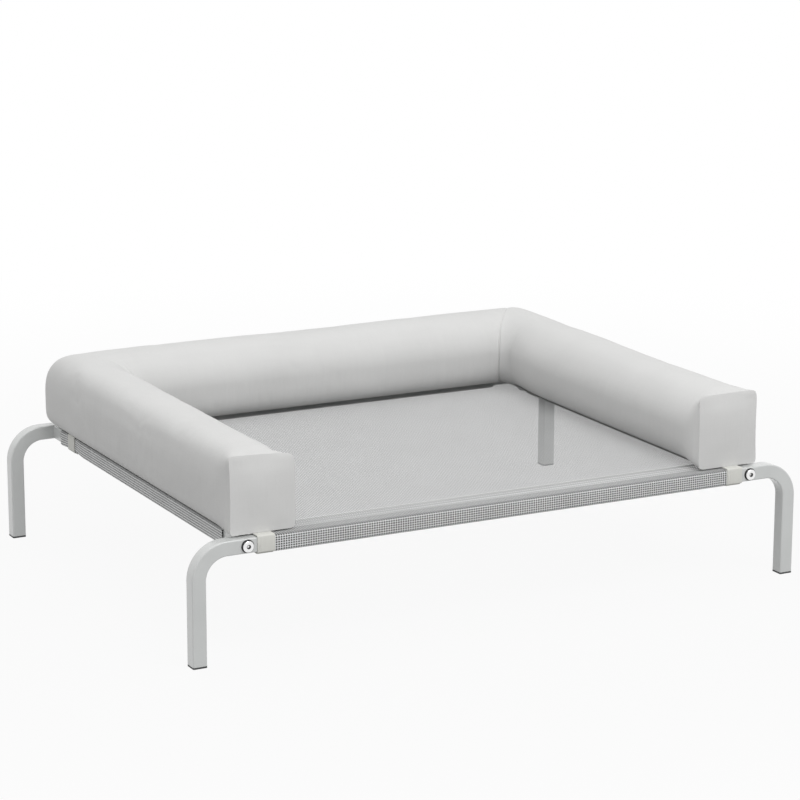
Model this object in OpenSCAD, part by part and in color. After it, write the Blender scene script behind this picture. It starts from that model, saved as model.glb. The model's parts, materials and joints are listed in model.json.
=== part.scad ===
// Raised dog cot. A frame of bent square steel tube carries a taut mesh sling,
// and a U-shaped padded bolster sits round three sides, held down by webbing straps.
// Millimetres, +Z up, +X along the long front edge, +Y to the back.
// The origin is on the floor under the middle of the frame.

/* [Frame] */
// Length over the outer faces of the legs
frame_length = 930; // [800:5:1100]
// Depth over the outer faces of the front and back rails
frame_depth = 686; // [600:2:800]
// Floor to the top of the tubes
frame_height = 165; // [130:1:220]
// Side of the square tube
tube_side = 20; // [18:0.5:25]
// Wall of the square tube
tube_wall = 1.2; // [1:0.1:2]
// Edge radius on the outside of the tube
tube_edge = 2; // [1.5:0.1:3]
// Radius of the leg's bend, to the middle of the tube
bend_radius = 40; // [32:1:46]
// Leg's outer face to the middle of the side rail
side_rail_inset = 78; // [72:1:100]

/* [Feet] */
// Thickness of the foot cap under the leg
foot_cap_thick = 2.5; // [2:0.5:6]
// Length of the foot's plug inside the leg
foot_plug_length = 14; // [8:1:20]

/* [Tube joints] */
// Gap between a plug or joiner and the tube round it, on each side
plug_gap = 0.15; // [0.1:0.05:0.3]
// Wall of the joiner between a leg and a long rail
joiner_wall = 1.5; // [1.2:0.1:2.5]
// Reach of the joiner into the long rail
joiner_reach = 22; // [15:1:40]
// Joiner's end to the side of the bolt hole
joiner_bolt_gap = 2; // [1:0.5:4]
// Gap where a long rail meets the leg
rail_joint_gap = 0.4; // [0.2:0.1:1]
// Length of the plug in the end of a side rail
rail_plug_length = 22; // [18:1:30]

/* [Fasteners] */
// Bolt's shank diameter
bolt_diameter = 6; // [5:0.5:6.5]
// Bolt's head diameter
bolt_head_diameter = 15; // [12:0.5:16]
// Bolt's head thickness
bolt_head_thick = 3.2; // [2.5:0.1:4]
// Bevel round the bolt's head
bolt_head_bevel = 0.8; // [0.4:0.1:1.2]
// Bolt's hex socket across its flats
bolt_socket_flats = 5; // [4:0.5:6]
// Bolt's hex socket depth
bolt_socket_depth = 2; // [1.5:0.1:2.2]
// Bolt's end past the nut
bolt_tip = 1.5; // [0.5:0.5:4]
// Gap round the shank in its holes
bolt_hole_gap = 0.3; // [0.2:0.05:0.5]
// Gap round the shank in the nut
nut_bore_gap = 0.05; // [0.03:0.01:0.1]
// Washer's diameter
washer_diameter = 17.5; // [16.5:0.5:18]
// Washer's thickness
washer_thick = 1; // [0.8:0.1:2]
// Nut across its flats
nut_flats = 10; // [9.5:0.5:12]
// Nut's thickness
nut_thick = 5; // [4:0.5:7]
// Gap round the nut in its pocket
nut_gap = 0.15; // [0.1:0.05:0.3]

/* [Sling] */
// Thickness of the mesh
mesh_thick = 0.8; // [0.6:0.1:1.5]
// Gap between the mesh and the tube
mesh_gap = 0.1; // [0.05:0.05:0.3]
// Rail's outer face to the inner end of a hem
hem_depth = 52; // [44:1:70]
// Width of the hem's sewn overlap
hem_seam = 8; // [5:1:12]
// Room at the corner between one hem's end and the next hem's side
hem_end_gap = 1; // [0.5:0.5:6]

/* [Straps] */
// Width of the webbing
strap_width = 25; // [20:1:30]
// Thickness of the webbing
strap_thick = 1.2; // [1:0.1:2]
// Gap between the webbing and what it goes round
strap_gap = 0.1; // [0.05:0.05:0.3]
// Room round the webbing in its slot, and from a hem's end
slot_gap = 0.4; // [0.3:0.1:1]
// Bolt to the middle of the front strap
front_strap_offset = 26; // [24:1:36]
// Back rail's outer face to the middle of the back strap
back_strap_inset = 95; // [85:1:150]
// Thickness of the hook-and-loop closure under the rail
closure_thick = 2; // [1.5:0.1:4]
// Length of the hook-and-loop closure
closure_length = 15; // [10:1:18]

/* [Bolster] */
// Width of each arm
arm_width = 100; // [80:1:130]
// Width of the back
back_width = 118; // [90:1:140]
// Height of the roll
bolster_height = 109; // [90:1:140]
// Gap between the bolster and the straps under it
bolster_gap = 0.3; // [0.2:0.1:1]
// Arm's side past the outer face of the side rail
side_overhang = 12; // [0:1:25]
// Front rail's outer face to the arm's end panel
front_setback = 12; // [0:1:40]
// Back rail's outer face to the side of the back
back_setback = 3; // [0:1:20]
// How far the end panel is narrower than the arm, on each side
end_panel_inset = 3; // [0:1:10]
// How far the end panel is lower than the roll
end_panel_drop = 6; // [0:1:15]
// Length in which the end panel rounds into the roll
end_fade = 34; // [20:1:80]
// Radius of the fold at the inner corner
fold_radius = 6; // [4:1:15]
// Angle from the back's width to the seam at the corner
seam_angle = 32; // [20:1:50]
// Gap between the covers at the seam
seam_gap = 0.3; // [0.2:0.1:0.6]
// Thickness of the cover
cover_thick = 1.5; // [1:0.1:3]
// Gap between the cover and the filling
fill_gap = 0.3; // [0.2:0.1:0.6]
// Squareness of the roll's top, 2 is round
crown_power = 2.5; // [2:0.1:4]
// Squareness of the roll's base
base_power = 3.9; // [2.5:0.1:6]
// Squareness of the end panel
end_power = 8; // [4:0.5:12]
// Squareness of the outer corner seen from above
corner_power = 12; // [4:0.5:16]

/* [Hidden] */
$fn = 48;

// Sub-parts that can be drawn alone

// Tube
tube_bore = tube_side - 2 * tube_wall;
tube_bore_edge = max(tube_edge - tube_wall, 0.4);
plug_side = tube_bore - 2 * plug_gap;
plug_edge = tube_bore_edge + plug_gap;

// Places of the tubes' middles
leg_x = frame_length / 2 - tube_side / 2;
rail_y = frame_depth / 2 - tube_side / 2;
rail_z = frame_height - tube_side / 2;
bolt_x = frame_length / 2 - side_rail_inset;
side_outer_x = bolt_x + tube_side / 2;
stub_inner_y = frame_depth / 2 - tube_side;
strap_x = bolt_x - front_strap_offset;
strap_y = frame_depth / 2 - back_strap_inset;

// Bolt
bolt_hole = bolt_diameter + 2 * bolt_hole_gap;
bolt_reach = tube_side + rail_plug_length + bolt_tip;
nut_z = tube_side + rail_plug_length - nut_thick;

// Sling and straps
mesh_out = mesh_gap + mesh_thick;
hem_front_half = strap_x - strap_width / 2 - slot_gap;
hem_side_half = frame_depth / 2 - hem_depth - hem_end_gap;
strap_seat = mesh_out + strap_gap;
slot_u = tube_side + strap_seat - slot_gap;
slot_across = strap_thick + 2 * slot_gap;
slot_along = strap_width + 2 * slot_gap;

// Bolster
base_z = frame_height + strap_seat + strap_thick + bolster_gap;
arm_outer_x = side_outer_x + side_overhang;
arm_end_y = front_setback - frame_depth / 2;
pivot_x = arm_outer_x - arm_width - fold_radius;
pivot_y = frame_depth / 2 - back_setback - back_width - fold_radius;
reach_x = fold_radius + arm_width;
reach_y = fold_radius + back_width;
fill_inset = cover_thick + fill_gap;

// Points round a ring, and rings along the roll
sides = 28;
fade_rings = 5;
arm_rings = 4;
arm_fan_rings = 6;
back_rings = 6;
back_fan_rings = 4;

// Square tube

module rounded_square(side, edge) {
    flat = side - 2 * edge;
    square([side, flat], center = true);
    square([flat, side], center = true);
    for (x = [-flat / 2, flat / 2], y = [-flat / 2, flat / 2])
        translate([x, y])
            circle(r = edge);
}

module tube_section() {
    difference() {
        rounded_square(tube_side, tube_edge);
        rounded_square(tube_bore, tube_bore_edge);
    }
}

// Extrudes a section along X, with the section's x to +Y and its y to +Z
module along_x(length) {
    rotate([90, 0, 90])
        linear_extrude(length, center = true)
            children();
}

// Extrudes a section along Y, with the section's x to +X and its y to +Z
module along_y(length) {
    rotate([0, 0, -90])
        along_x(length)
            children();
}

// Takes a piece drawn at the front right to another corner
module at_corner(side, end) {
    mirror([side < 0 ? 1 : 0, 0, 0])
        mirror([0, end > 0 ? 1 : 0, 0])
            children();
}

// Frame

module long_rail(end) {
    color("silver")
        translate([0, end * rail_y, rail_z])
            along_x(2 * strap_x - rail_joint_gap)
                tube_section();
}

module side_rail(side) {
    color("silver")
        translate([side * bolt_x, 0, rail_z])
            along_y(2 * stub_inner_y)
                tube_section();
}

module leg(side, end) {
    bend_x = leg_x - bend_radius;
    bend_z = rail_z - bend_radius;
    stub_start = strap_x + rail_joint_gap / 2;
    stub_length = bend_x - stub_start;
    color("lightgrey")
        at_corner(side, end)
            difference() {
                union() {
                    translate([leg_x, -rail_y, foot_cap_thick])
                        linear_extrude(bend_z - foot_cap_thick)
                            tube_section();
                    translate([bend_x, -rail_y, bend_z])
                        rotate([90, 0, 0])
                            rotate_extrude(angle = 90)
                                translate([bend_radius, 0])
                                    tube_section();
                    translate([stub_start + stub_length / 2, -rail_y, rail_z])
                        along_x(stub_length)
                            tube_section();
                }
                translate([bolt_x, -rail_y, rail_z])
                    rotate([90, 0, 0])
                        cylinder(h = 2 * tube_side, d = bolt_hole, center = true);
            }
}

module foot(side, end) {
    color("dimgrey")
        at_corner(side, end)
            translate([leg_x, -rail_y, 0]) {
                linear_extrude(foot_cap_thick)
                    rounded_square(tube_side, tube_edge);
                linear_extrude(foot_cap_thick + foot_plug_length)
                    rounded_square(plug_side, plug_edge);
            }
}

// Sleeve inside the leg's stub and the long rail, hidden under the strap
module joiner(side, end) {
    inner_end = strap_x - joiner_reach;
    outer_end = bolt_x - bolt_hole / 2 - joiner_bolt_gap;
    bore = plug_side - 2 * joiner_wall;
    color("slategrey")
        at_corner(side, end)
            translate([(inner_end + outer_end) / 2, -rail_y, rail_z])
                along_x(outer_end - inner_end)
                    difference() {
                        rounded_square(plug_side, plug_edge);
                        square(bore, center = true);
                    }
}

// Fasteners

// Turns local +Z into the frame, with z = 0 on the leg's outer face
module at_bolt(side, end) {
    at_corner(side, end)
        translate([bolt_x, -frame_depth / 2, rail_z])
            rotate([-90, 0, 0])
                children();
}

module hexagon(flats) {
    circle(d = flats / cos(30), $fn = 6);
}

module plug(side, end) {
    pocket = nut_flats + 2 * nut_gap;
    color("darkslategrey")
        at_bolt(side, end)
            difference() {
                translate([0, 0, tube_side])
                    linear_extrude(rail_plug_length)
                        rounded_square(plug_side, plug_edge);
                translate([0, 0, tube_side - 1])
                    cylinder(h = rail_plug_length + 2, d = bolt_hole);
                translate([0, 0, nut_z])
                    linear_extrude(nut_thick + 1)
                        hexagon(pocket);
            }
}

module bolt(side, end) {
    head_r = bolt_head_diameter / 2;
    top = washer_thick + bolt_head_thick;
    color("gainsboro")
        at_bolt(side, end)
            difference() {
                union() {
                    translate([0, 0, -washer_thick])
                        cylinder(h = washer_thick + bolt_reach, d = bolt_diameter);
                    translate([0, 0, bolt_head_bevel - top])
                        cylinder(h = bolt_head_thick - bolt_head_bevel, r = head_r);
                    translate([0, 0, -top])
                        cylinder(h = bolt_head_bevel, r1 = head_r - bolt_head_bevel, r2 = head_r);
                }
                translate([0, 0, -top - 1])
                    linear_extrude(bolt_socket_depth + 1)
                        hexagon(bolt_socket_flats);
            }
}

module washer(side, end) {
    color("black")
        at_bolt(side, end)
            translate([0, 0, -washer_thick])
                linear_extrude(washer_thick)
                    difference() {
                        circle(d = washer_diameter);
                        circle(d = bolt_hole);
                    }
}

module nut(side, end) {
    color("grey")
        at_bolt(side, end)
            translate([0, 0, nut_z])
                linear_extrude(nut_thick)
                    difference() {
                        hexagon(nut_flats);
                        circle(d = bolt_diameter + 2 * nut_bore_gap);
                    }
}

// Sling

// Slots where the back straps pass through the mesh
module strap_slots() {
    for (side = [-1, 1])
        translate([side * (side_outer_x - slot_u - slot_across / 2), strap_y, frame_height])
            cube([slot_across, slot_along, 4 * tube_side], center = true);
}

module sling_panel() {
    wide = side_outer_x + mesh_out;
    deep = frame_depth / 2 + mesh_out;
    color("whitesmoke")
        difference() {
            translate([0, 0, frame_height + mesh_gap])
                linear_extrude(mesh_thick) {
                    square([2 * wide, 2 * hem_side_half], center = true);
                    square([2 * hem_front_half, 2 * deep], center = true);
                }
            strap_slots();
        }
}

// The hem in section: x is inward from the rail's outer face, y is up from its top.
// It goes down the face, under the rail and up to the panel, where it is sewn.
module hem_section() {
    low = -tube_side - mesh_gap;
    turn = [tube_side + mesh_gap, low];
    landing = [hem_depth - hem_seam + mesh_thick, mesh_gap - mesh_thick / 2];
    rise = (landing - turn) / norm(landing - turn);
    out = mesh_thick * [rise.y, -rise.x];
    translate([-mesh_out, low - mesh_thick])
        square([mesh_thick, tube_side + mesh_out + mesh_gap]);
    translate([-mesh_out, low - mesh_thick])
        square([turn.x + mesh_out, mesh_thick]);
    polygon([turn, turn - [0, mesh_thick], turn + out, landing + out, landing]);
    translate([hem_depth - hem_seam, mesh_gap - mesh_thick])
        square([hem_seam, mesh_thick]);
}

module long_hem(end) {
    color("lightgrey")
        mirror([0, end > 0 ? 1 : 0, 0])
            translate([0, -frame_depth / 2, frame_height])
                along_x(2 * hem_front_half)
                    hem_section();
}

module side_hem(side) {
    color("lightgrey")
        difference() {
            mirror([side > 0 ? 1 : 0, 0, 0])
                translate([-side_outer_x, 0, frame_height])
                    along_y(2 * hem_side_half)
                        hem_section();
            strap_slots();
        }
}

// Straps

// The strap in section, as a ring round the rail. wrap is its distance from the tube.
module strap_section(wrap) {
    inner = tube_side + 2 * wrap;
    tall = tube_side + wrap + strap_seat;
    difference() {
        translate([-wrap - strap_thick, -tube_side - wrap - strap_thick])
            square([inner + 2 * strap_thick, tall + 2 * strap_thick]);
        translate([-wrap, -tube_side - wrap])
            square([inner, tall]);
    }
}

// The strap's fastened tail, under the rail
module closure_section(wrap) {
    translate([(tube_side - closure_length) / 2, -tube_side - wrap - strap_thick - closure_thick])
        square([closure_length, closure_thick]);
}

// Lays a strap's section on the front rail, or on a side rail near the back
module at_front_strap(side) {
    translate([side * strap_x, -frame_depth / 2, frame_height])
        along_x(strap_width)
            children();
}

module at_back_strap(side) {
    mirror([side > 0 ? 1 : 0, 0, 0])
        translate([-side_outer_x, strap_y, frame_height])
            along_y(strap_width)
                children();
}

module strap_front(side) {
    color("antiquewhite")
        at_front_strap(side)
            strap_section(strap_gap);
}

module strap_back(side) {
    color("antiquewhite")
        at_back_strap(side)
            strap_section(strap_seat);
}

module closure_front(side) {
    color("tan")
        at_front_strap(side)
            closure_section(strap_gap);
}

module closure_back(side) {
    color("tan")
        at_back_strap(side)
            closure_section(strap_seat);
}

// Bolster

function mix(a, b, t) = a + (b - a) * t;

function signed_pow(v, p) = sign(v) * pow(abs(v), p);

// One ring of the roll, in the upright plane through origin along heading.
// It lies from near to far along heading and from low to high, drawn in by inset.
function ring(origin, heading, near, far, low, high, top_power, low_power, inset) = [
    for (i = [0:sides - 1])
        let (
            turn = 360 * (i + 0.5) / sides,
            power = sin(turn) > 0 ? top_power : low_power,
            u = (1 + signed_pow(cos(turn), 2 / power)) / 2,
            v = (1 + signed_pow(sin(turn), 2 / power)) / 2,
            r = mix(near + inset, far - inset, u),
            z = mix(low + inset, high - inset, v)
        )
        [origin.x + heading.x * r, origin.y + heading.y * r, z]
];

// Ring of the right arm at a distance behind its end panel
function arm_ring(distance, inset) =
    let (
        fade = min(distance / end_fade, 1),
        round_off = sqrt(fade * (2 - fade)),
        side_in = mix(end_panel_inset, 0, round_off),
        drop = mix(end_panel_drop, 0, round_off)
    )
    ring([pivot_x, arm_end_y + distance], [1, 0],
        fold_radius + side_in, reach_x - side_in,
        base_z, base_z + bolster_height - drop,
        mix(end_power, crown_power, round_off), mix(end_power, base_power, round_off), inset);

// Ring of a corner, at an angle from +X seen from above. shift moves it along the roll.
function corner_ring(angle, inset, shift = 0) =
    let (
        heading = [cos(angle), sin(angle)],
        across = pow(abs(heading.x) / reach_x, corner_power),
        along = pow(abs(heading.y) / reach_y, corner_power),
        reach = pow(across + along, -1 / corner_power),
        pivot = [angle > 90 ? -pivot_x : pivot_x, pivot_y]
    )
    ring(pivot + shift * [-heading.y, heading.x], heading, fold_radius, reach,
        base_z, base_z + bolster_height, crown_power, base_power, inset);

// Ring of the straight back at x
function back_ring(x, inset) =
    ring([x, pivot_y], [0, 1], fold_radius, reach_y,
        base_z, base_z + bolster_height, crown_power, base_power, inset);

// Rings of the right arm from its end panel to the corner's seam
function arm_loft(inset) =
    let (
        arm_length = pivot_y - arm_end_y,
        arm_turn = 90 - seam_angle
    )
    concat(
        [for (i = [0:fade_rings - 1]) arm_ring(inset + (end_fade - inset) * pow(i / fade_rings, 2), inset)],
        [for (i = [0:arm_rings - 1]) arm_ring(mix(end_fade, arm_length, i / arm_rings), inset)],
        [for (i = [0:arm_fan_rings - 1]) corner_ring(arm_turn * i / arm_fan_rings, inset)],
        [corner_ring(arm_turn, inset, -seam_gap / 2)]
    );

// Rings of the back from the right seam to the left seam
function back_loft(inset) =
    concat(
        [corner_ring(90 - seam_angle, inset, seam_gap / 2)],
        [for (i = [1:back_fan_rings]) corner_ring(90 - seam_angle * (1 - i / back_fan_rings), inset)],
        [for (i = [1:back_rings - 1]) back_ring(mix(pivot_x, -pivot_x, i / back_rings), inset)],
        [for (i = [0:back_fan_rings - 1]) corner_ring(90.0001 + seam_angle * i / back_fan_rings, inset)],
        [corner_ring(90 + seam_angle, inset, -seam_gap / 2)]
    );

function flatten(lists) = [for (list = lists) each list];

function middle(points) = [for (k = [0:2]) let (c = [for (p = points) p[k]]) (min(c) + max(c)) / 2];

// Triangles between rings, from the point numbered first
function wall_faces(first, count, inward) = [
    for (r = [0:count - 2], i = [0:sides - 1])
        let (
            a = first + r * sides + i,
            b = first + r * sides + (i + 1) % sides,
            c = a + sides,
            d = b + sides
        )
        each inward ? [[a, b, c], [b, d, c]] : [[a, c, b], [b, c, d]]
];

// Triangles that close a ring to one point
function cap_faces(first, apex, flip) = [
    for (i = [0:sides - 1])
        let (a = first + i, b = first + (i + 1) % sides)
        flip ? [apex, b, a] : [apex, a, b]
];

// Triangles from an outer ring to an inner ring
function rim_faces(outer, inner, flip) = [
    for (i = [0:sides - 1])
        let (a = outer + i, b = outer + (i + 1) % sides, c = inner + i, d = inner + (i + 1) % sides)
        each flip ? [[a, b, c], [b, d, c]] : [[a, c, b], [b, c, d]]
];

// A roll closed at both ends
module solid_roll(rings) {
    count = len(rings);
    last = (count - 1) * sides;
    apex = count * sides;
    points = concat(flatten(rings), [middle(rings[0]), middle(rings[count - 1])]);
    faces = concat(
        wall_faces(0, count, false),
        cap_faces(0, apex, false),
        cap_faces(last, apex + 1, true));
    polyhedron(points, faces);
}

// A hollow roll, open at its last ring and, unless closed_start, at its first
module hollow_roll(outer, inner, closed_start) {
    count = len(outer);
    skin = count * sides;
    last = skin - sides;
    apex = 2 * skin;
    points = concat(flatten(outer), flatten(inner), [middle(outer[0]), middle(inner[0])]);
    start = closed_start
        ? concat(cap_faces(0, apex, false), cap_faces(skin, apex + 1, true))
        : rim_faces(0, skin, true);
    faces = concat(
        wall_faces(0, count, false),
        wall_faces(skin, count, true),
        start,
        rim_faces(last, skin + last, false));
    polyhedron(closed_start ? points : [for (i = [0:apex - 1]) points[i]], faces);
}

module cover_arm(side) {
    color("gainsboro")
        mirror([side < 0 ? 1 : 0, 0, 0])
            hollow_roll(arm_loft(0), arm_loft(cover_thick), true);
}

module fill_arm(side) {
    color("ivory")
        mirror([side < 0 ? 1 : 0, 0, 0])
            solid_roll(arm_loft(fill_inset));
}

module cover_back() {
    color("gainsboro")
        hollow_roll(back_loft(0), back_loft(cover_thick), false);
}

module fill_back() {
    color("ivory")
        solid_roll(back_loft(fill_inset));
}

// Assembly

long_rail(-1);  // front_rail
long_rail(1);  // back_rail
side_rail(-1);  // left_rail
side_rail(1);  // right_rail

leg(-1, -1);  // leg_front_left
leg(1, -1);  // leg_front_right
leg(-1, 1);  // leg_back_left
leg(1, 1);  // leg_back_right

foot(-1, -1);  // foot_front_left
foot(1, -1);  // foot_front_right
foot(-1, 1);  // foot_back_left
foot(1, 1);  // foot_back_right

joiner(-1, -1);  // joiner_front_left
joiner(1, -1);  // joiner_front_right
joiner(-1, 1);  // joiner_back_left
joiner(1, 1);  // joiner_back_right

plug(-1, -1);  // plug_front_left
plug(1, -1);  // plug_front_right
plug(-1, 1);  // plug_back_left
plug(1, 1);  // plug_back_right

bolt(-1, -1);  // bolt_front_left
bolt(1, -1);  // bolt_front_right
bolt(-1, 1);  // bolt_back_left
bolt(1, 1);  // bolt_back_right

washer(-1, -1);  // washer_front_left
washer(1, -1);  // washer_front_right
washer(-1, 1);  // washer_back_left
washer(1, 1);  // washer_back_right

nut(-1, -1);  // nut_front_left
nut(1, -1);  // nut_front_right
nut(-1, 1);  // nut_back_left
nut(1, 1);  // nut_back_right

sling_panel();
long_hem(-1);  // hem_front
long_hem(1);  // hem_back
side_hem(-1);  // hem_left
side_hem(1);  // hem_right

strap_front(-1);  // strap_front_left
strap_front(1);  // strap_front_right
strap_back(-1);  // strap_back_left
strap_back(1);  // strap_back_right

closure_front(-1);  // closure_front_left
closure_front(1);  // closure_front_right
closure_back(-1);  // closure_back_left
closure_back(1);  // closure_back_right

cover_arm(-1);  // cover_left_arm
cover_back();
cover_arm(1);  // cover_right_arm

fill_arm(-1);  // fill_left_arm
fill_back();
fill_arm(1);  // fill_right_arm
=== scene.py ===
"""Looks of a raised dog cot: a mesh sling on a bent steel tube frame, with a stuffed U-shaped bolster."""

import json
import logging
import math
from collections.abc import Sequence
from dataclasses import astuple, dataclass, field, replace
from enum import Enum
from typing import ClassVar

import bmesh
import bpy
import numpy as np
from bmesh.types import BMEdge, BMesh, BMLayerItem, BMVert
from bpy.types import ID, Material, Mesh, Node, NodeSocket, NodeTree, Object
from mathutils import Matrix, Vector, kdtree, noise


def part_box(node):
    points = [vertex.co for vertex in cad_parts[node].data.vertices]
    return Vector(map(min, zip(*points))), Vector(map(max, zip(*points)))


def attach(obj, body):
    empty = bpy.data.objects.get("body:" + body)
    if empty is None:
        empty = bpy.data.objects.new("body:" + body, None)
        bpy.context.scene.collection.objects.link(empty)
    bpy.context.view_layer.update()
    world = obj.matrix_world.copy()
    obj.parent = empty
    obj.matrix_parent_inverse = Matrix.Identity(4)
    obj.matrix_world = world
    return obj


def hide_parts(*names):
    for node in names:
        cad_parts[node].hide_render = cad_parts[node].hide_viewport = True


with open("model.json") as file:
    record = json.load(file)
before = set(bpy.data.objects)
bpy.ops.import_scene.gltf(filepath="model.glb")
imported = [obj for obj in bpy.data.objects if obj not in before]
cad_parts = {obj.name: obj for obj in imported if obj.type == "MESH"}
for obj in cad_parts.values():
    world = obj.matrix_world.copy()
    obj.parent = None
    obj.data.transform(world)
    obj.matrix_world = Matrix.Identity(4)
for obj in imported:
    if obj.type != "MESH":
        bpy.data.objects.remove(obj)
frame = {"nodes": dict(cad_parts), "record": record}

LOG = logging.getLogger("dog_cot")
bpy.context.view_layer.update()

Colour = tuple[float, float, float, float]
Range = tuple[float, float]
Triple = tuple[float, float, float]
Sockets = dict[str | int, object]

WHITE: Colour = (1.0, 1.0, 1.0, 1.0)
BLACK: Colour = (0.0, 0.0, 0.0, 1.0)
NOWHERE: Range = (1.0, 1.0)


class Body(Enum):
    """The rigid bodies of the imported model."""

    FRAME = "frame"
    BOLSTER = "bolster"


class Side(Enum):
    """Left or right of the cot, seen from its open front."""

    LEFT = -1
    RIGHT = 1


class Corner(Enum):
    """The four corners of the cot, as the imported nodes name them."""

    FRONT_LEFT = "front_left"
    FRONT_RIGHT = "front_right"
    BACK_LEFT = "back_left"
    BACK_RIGHT = "back_right"


class Edge(Enum):
    """The sling's four edges, as unit steps outward."""

    FRONT = (0, -1)
    BACK = (0, 1)
    LEFT = (-1, 0)
    RIGHT = (1, 0)


class Grain(Enum):
    """The two outputs of the mottle effect."""

    BROAD = "Broad"
    FINE = "Fine"


def display(*levels: int) -> Colour:
    """Turn 8-bit display values into a linear colour.

    Args:
        *levels: Red, green and blue from 0 to 255.

    Returns:
        The linear colour with full alpha.
    """
    parts = [level / 255 for level in levels]
    red, green, blue = (p / 12.92 if p <= 0.04045 else ((p + 0.055) / 1.055) ** 2.4 for p in parts)
    return (red, green, blue, 1.0)


class NodeBench:
    """A node tree with short calls to place and wire its nodes."""

    MIX_SHARE, MIX_FIRST, MIX_SECOND, MIX_RESULT = 0, 6, 7, 2

    def __init__(self, tree: NodeTree) -> None:
        """Take the tree to work on."""
        self.tree = tree

    def place(self, kind: str, sockets: Sockets | None = None, **settings: object) -> Node:
        """Place a node, set its properties and feed its inputs.

        Args:
            kind: The node's type name.
            sockets: What to feed, by the input's name or number.
            **settings: Properties of the node itself.

        Returns:
            The new node.
        """
        made = self.tree.nodes.new(kind)
        for name, value in settings.items():
            setattr(made, name, value)
        for key, value in (sockets or {}).items():
            self.feed(made.inputs[key], value)
        return made

    def feed(self, socket: NodeSocket, value: object) -> None:
        """Wire a socket from another one, or set its value.

        Args:
            socket: The input to feed.
            value: An output socket, or a plain value.
        """
        if isinstance(value, NodeSocket):
            self.tree.links.new(value, socket)
        else:
            socket.default_value = value

    def math(self, operation: str, *values: object, clamp: bool = False) -> NodeSocket:
        """Place a Math node.

        Args:
            operation: The node's operation.
            *values: Its inputs, sockets or numbers.
            clamp: Whether the result is held from 0 to 1.

        Returns:
            The node's output.
        """
        sockets = dict(enumerate(values))
        return self.place("ShaderNodeMath", sockets, operation=operation, use_clamp=clamp).outputs[0]

    def ramp(self, value: NodeSocket, span: Range, result: Range) -> NodeSocket:
        """Map a value from one range to another, smoothly and held at the ends.

        Args:
            value: The value to map.
            span: Start and end of its range.
            result: What the start and the end become.

        Returns:
            The mapped value.
        """
        sockets = dict(enumerate((value, *span, *result)))
        return self.place("ShaderNodeMapRange", sockets, interpolation_type="SMOOTHSTEP").outputs[0]

    def tint(self, share: NodeSocket, first: object, second: object) -> NodeSocket:
        """Mix two colours by a share of the second one."""
        sockets = {self.MIX_SHARE: share, self.MIX_FIRST: first, self.MIX_SECOND: second}
        return self.place("ShaderNodeMix", sockets, data_type="RGBA").outputs[self.MIX_RESULT]

    def use(self, group: NodeTree, **values: object) -> Node:
        """Place a node group and feed its inputs by name."""
        return self.place("ShaderNodeGroup", values, node_tree=group)

    def split(self, vector: NodeSocket) -> Sequence[NodeSocket]:
        """Split a vector into its parts."""
        return self.place("ShaderNodeSeparateXYZ", {0: vector}).outputs


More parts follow.
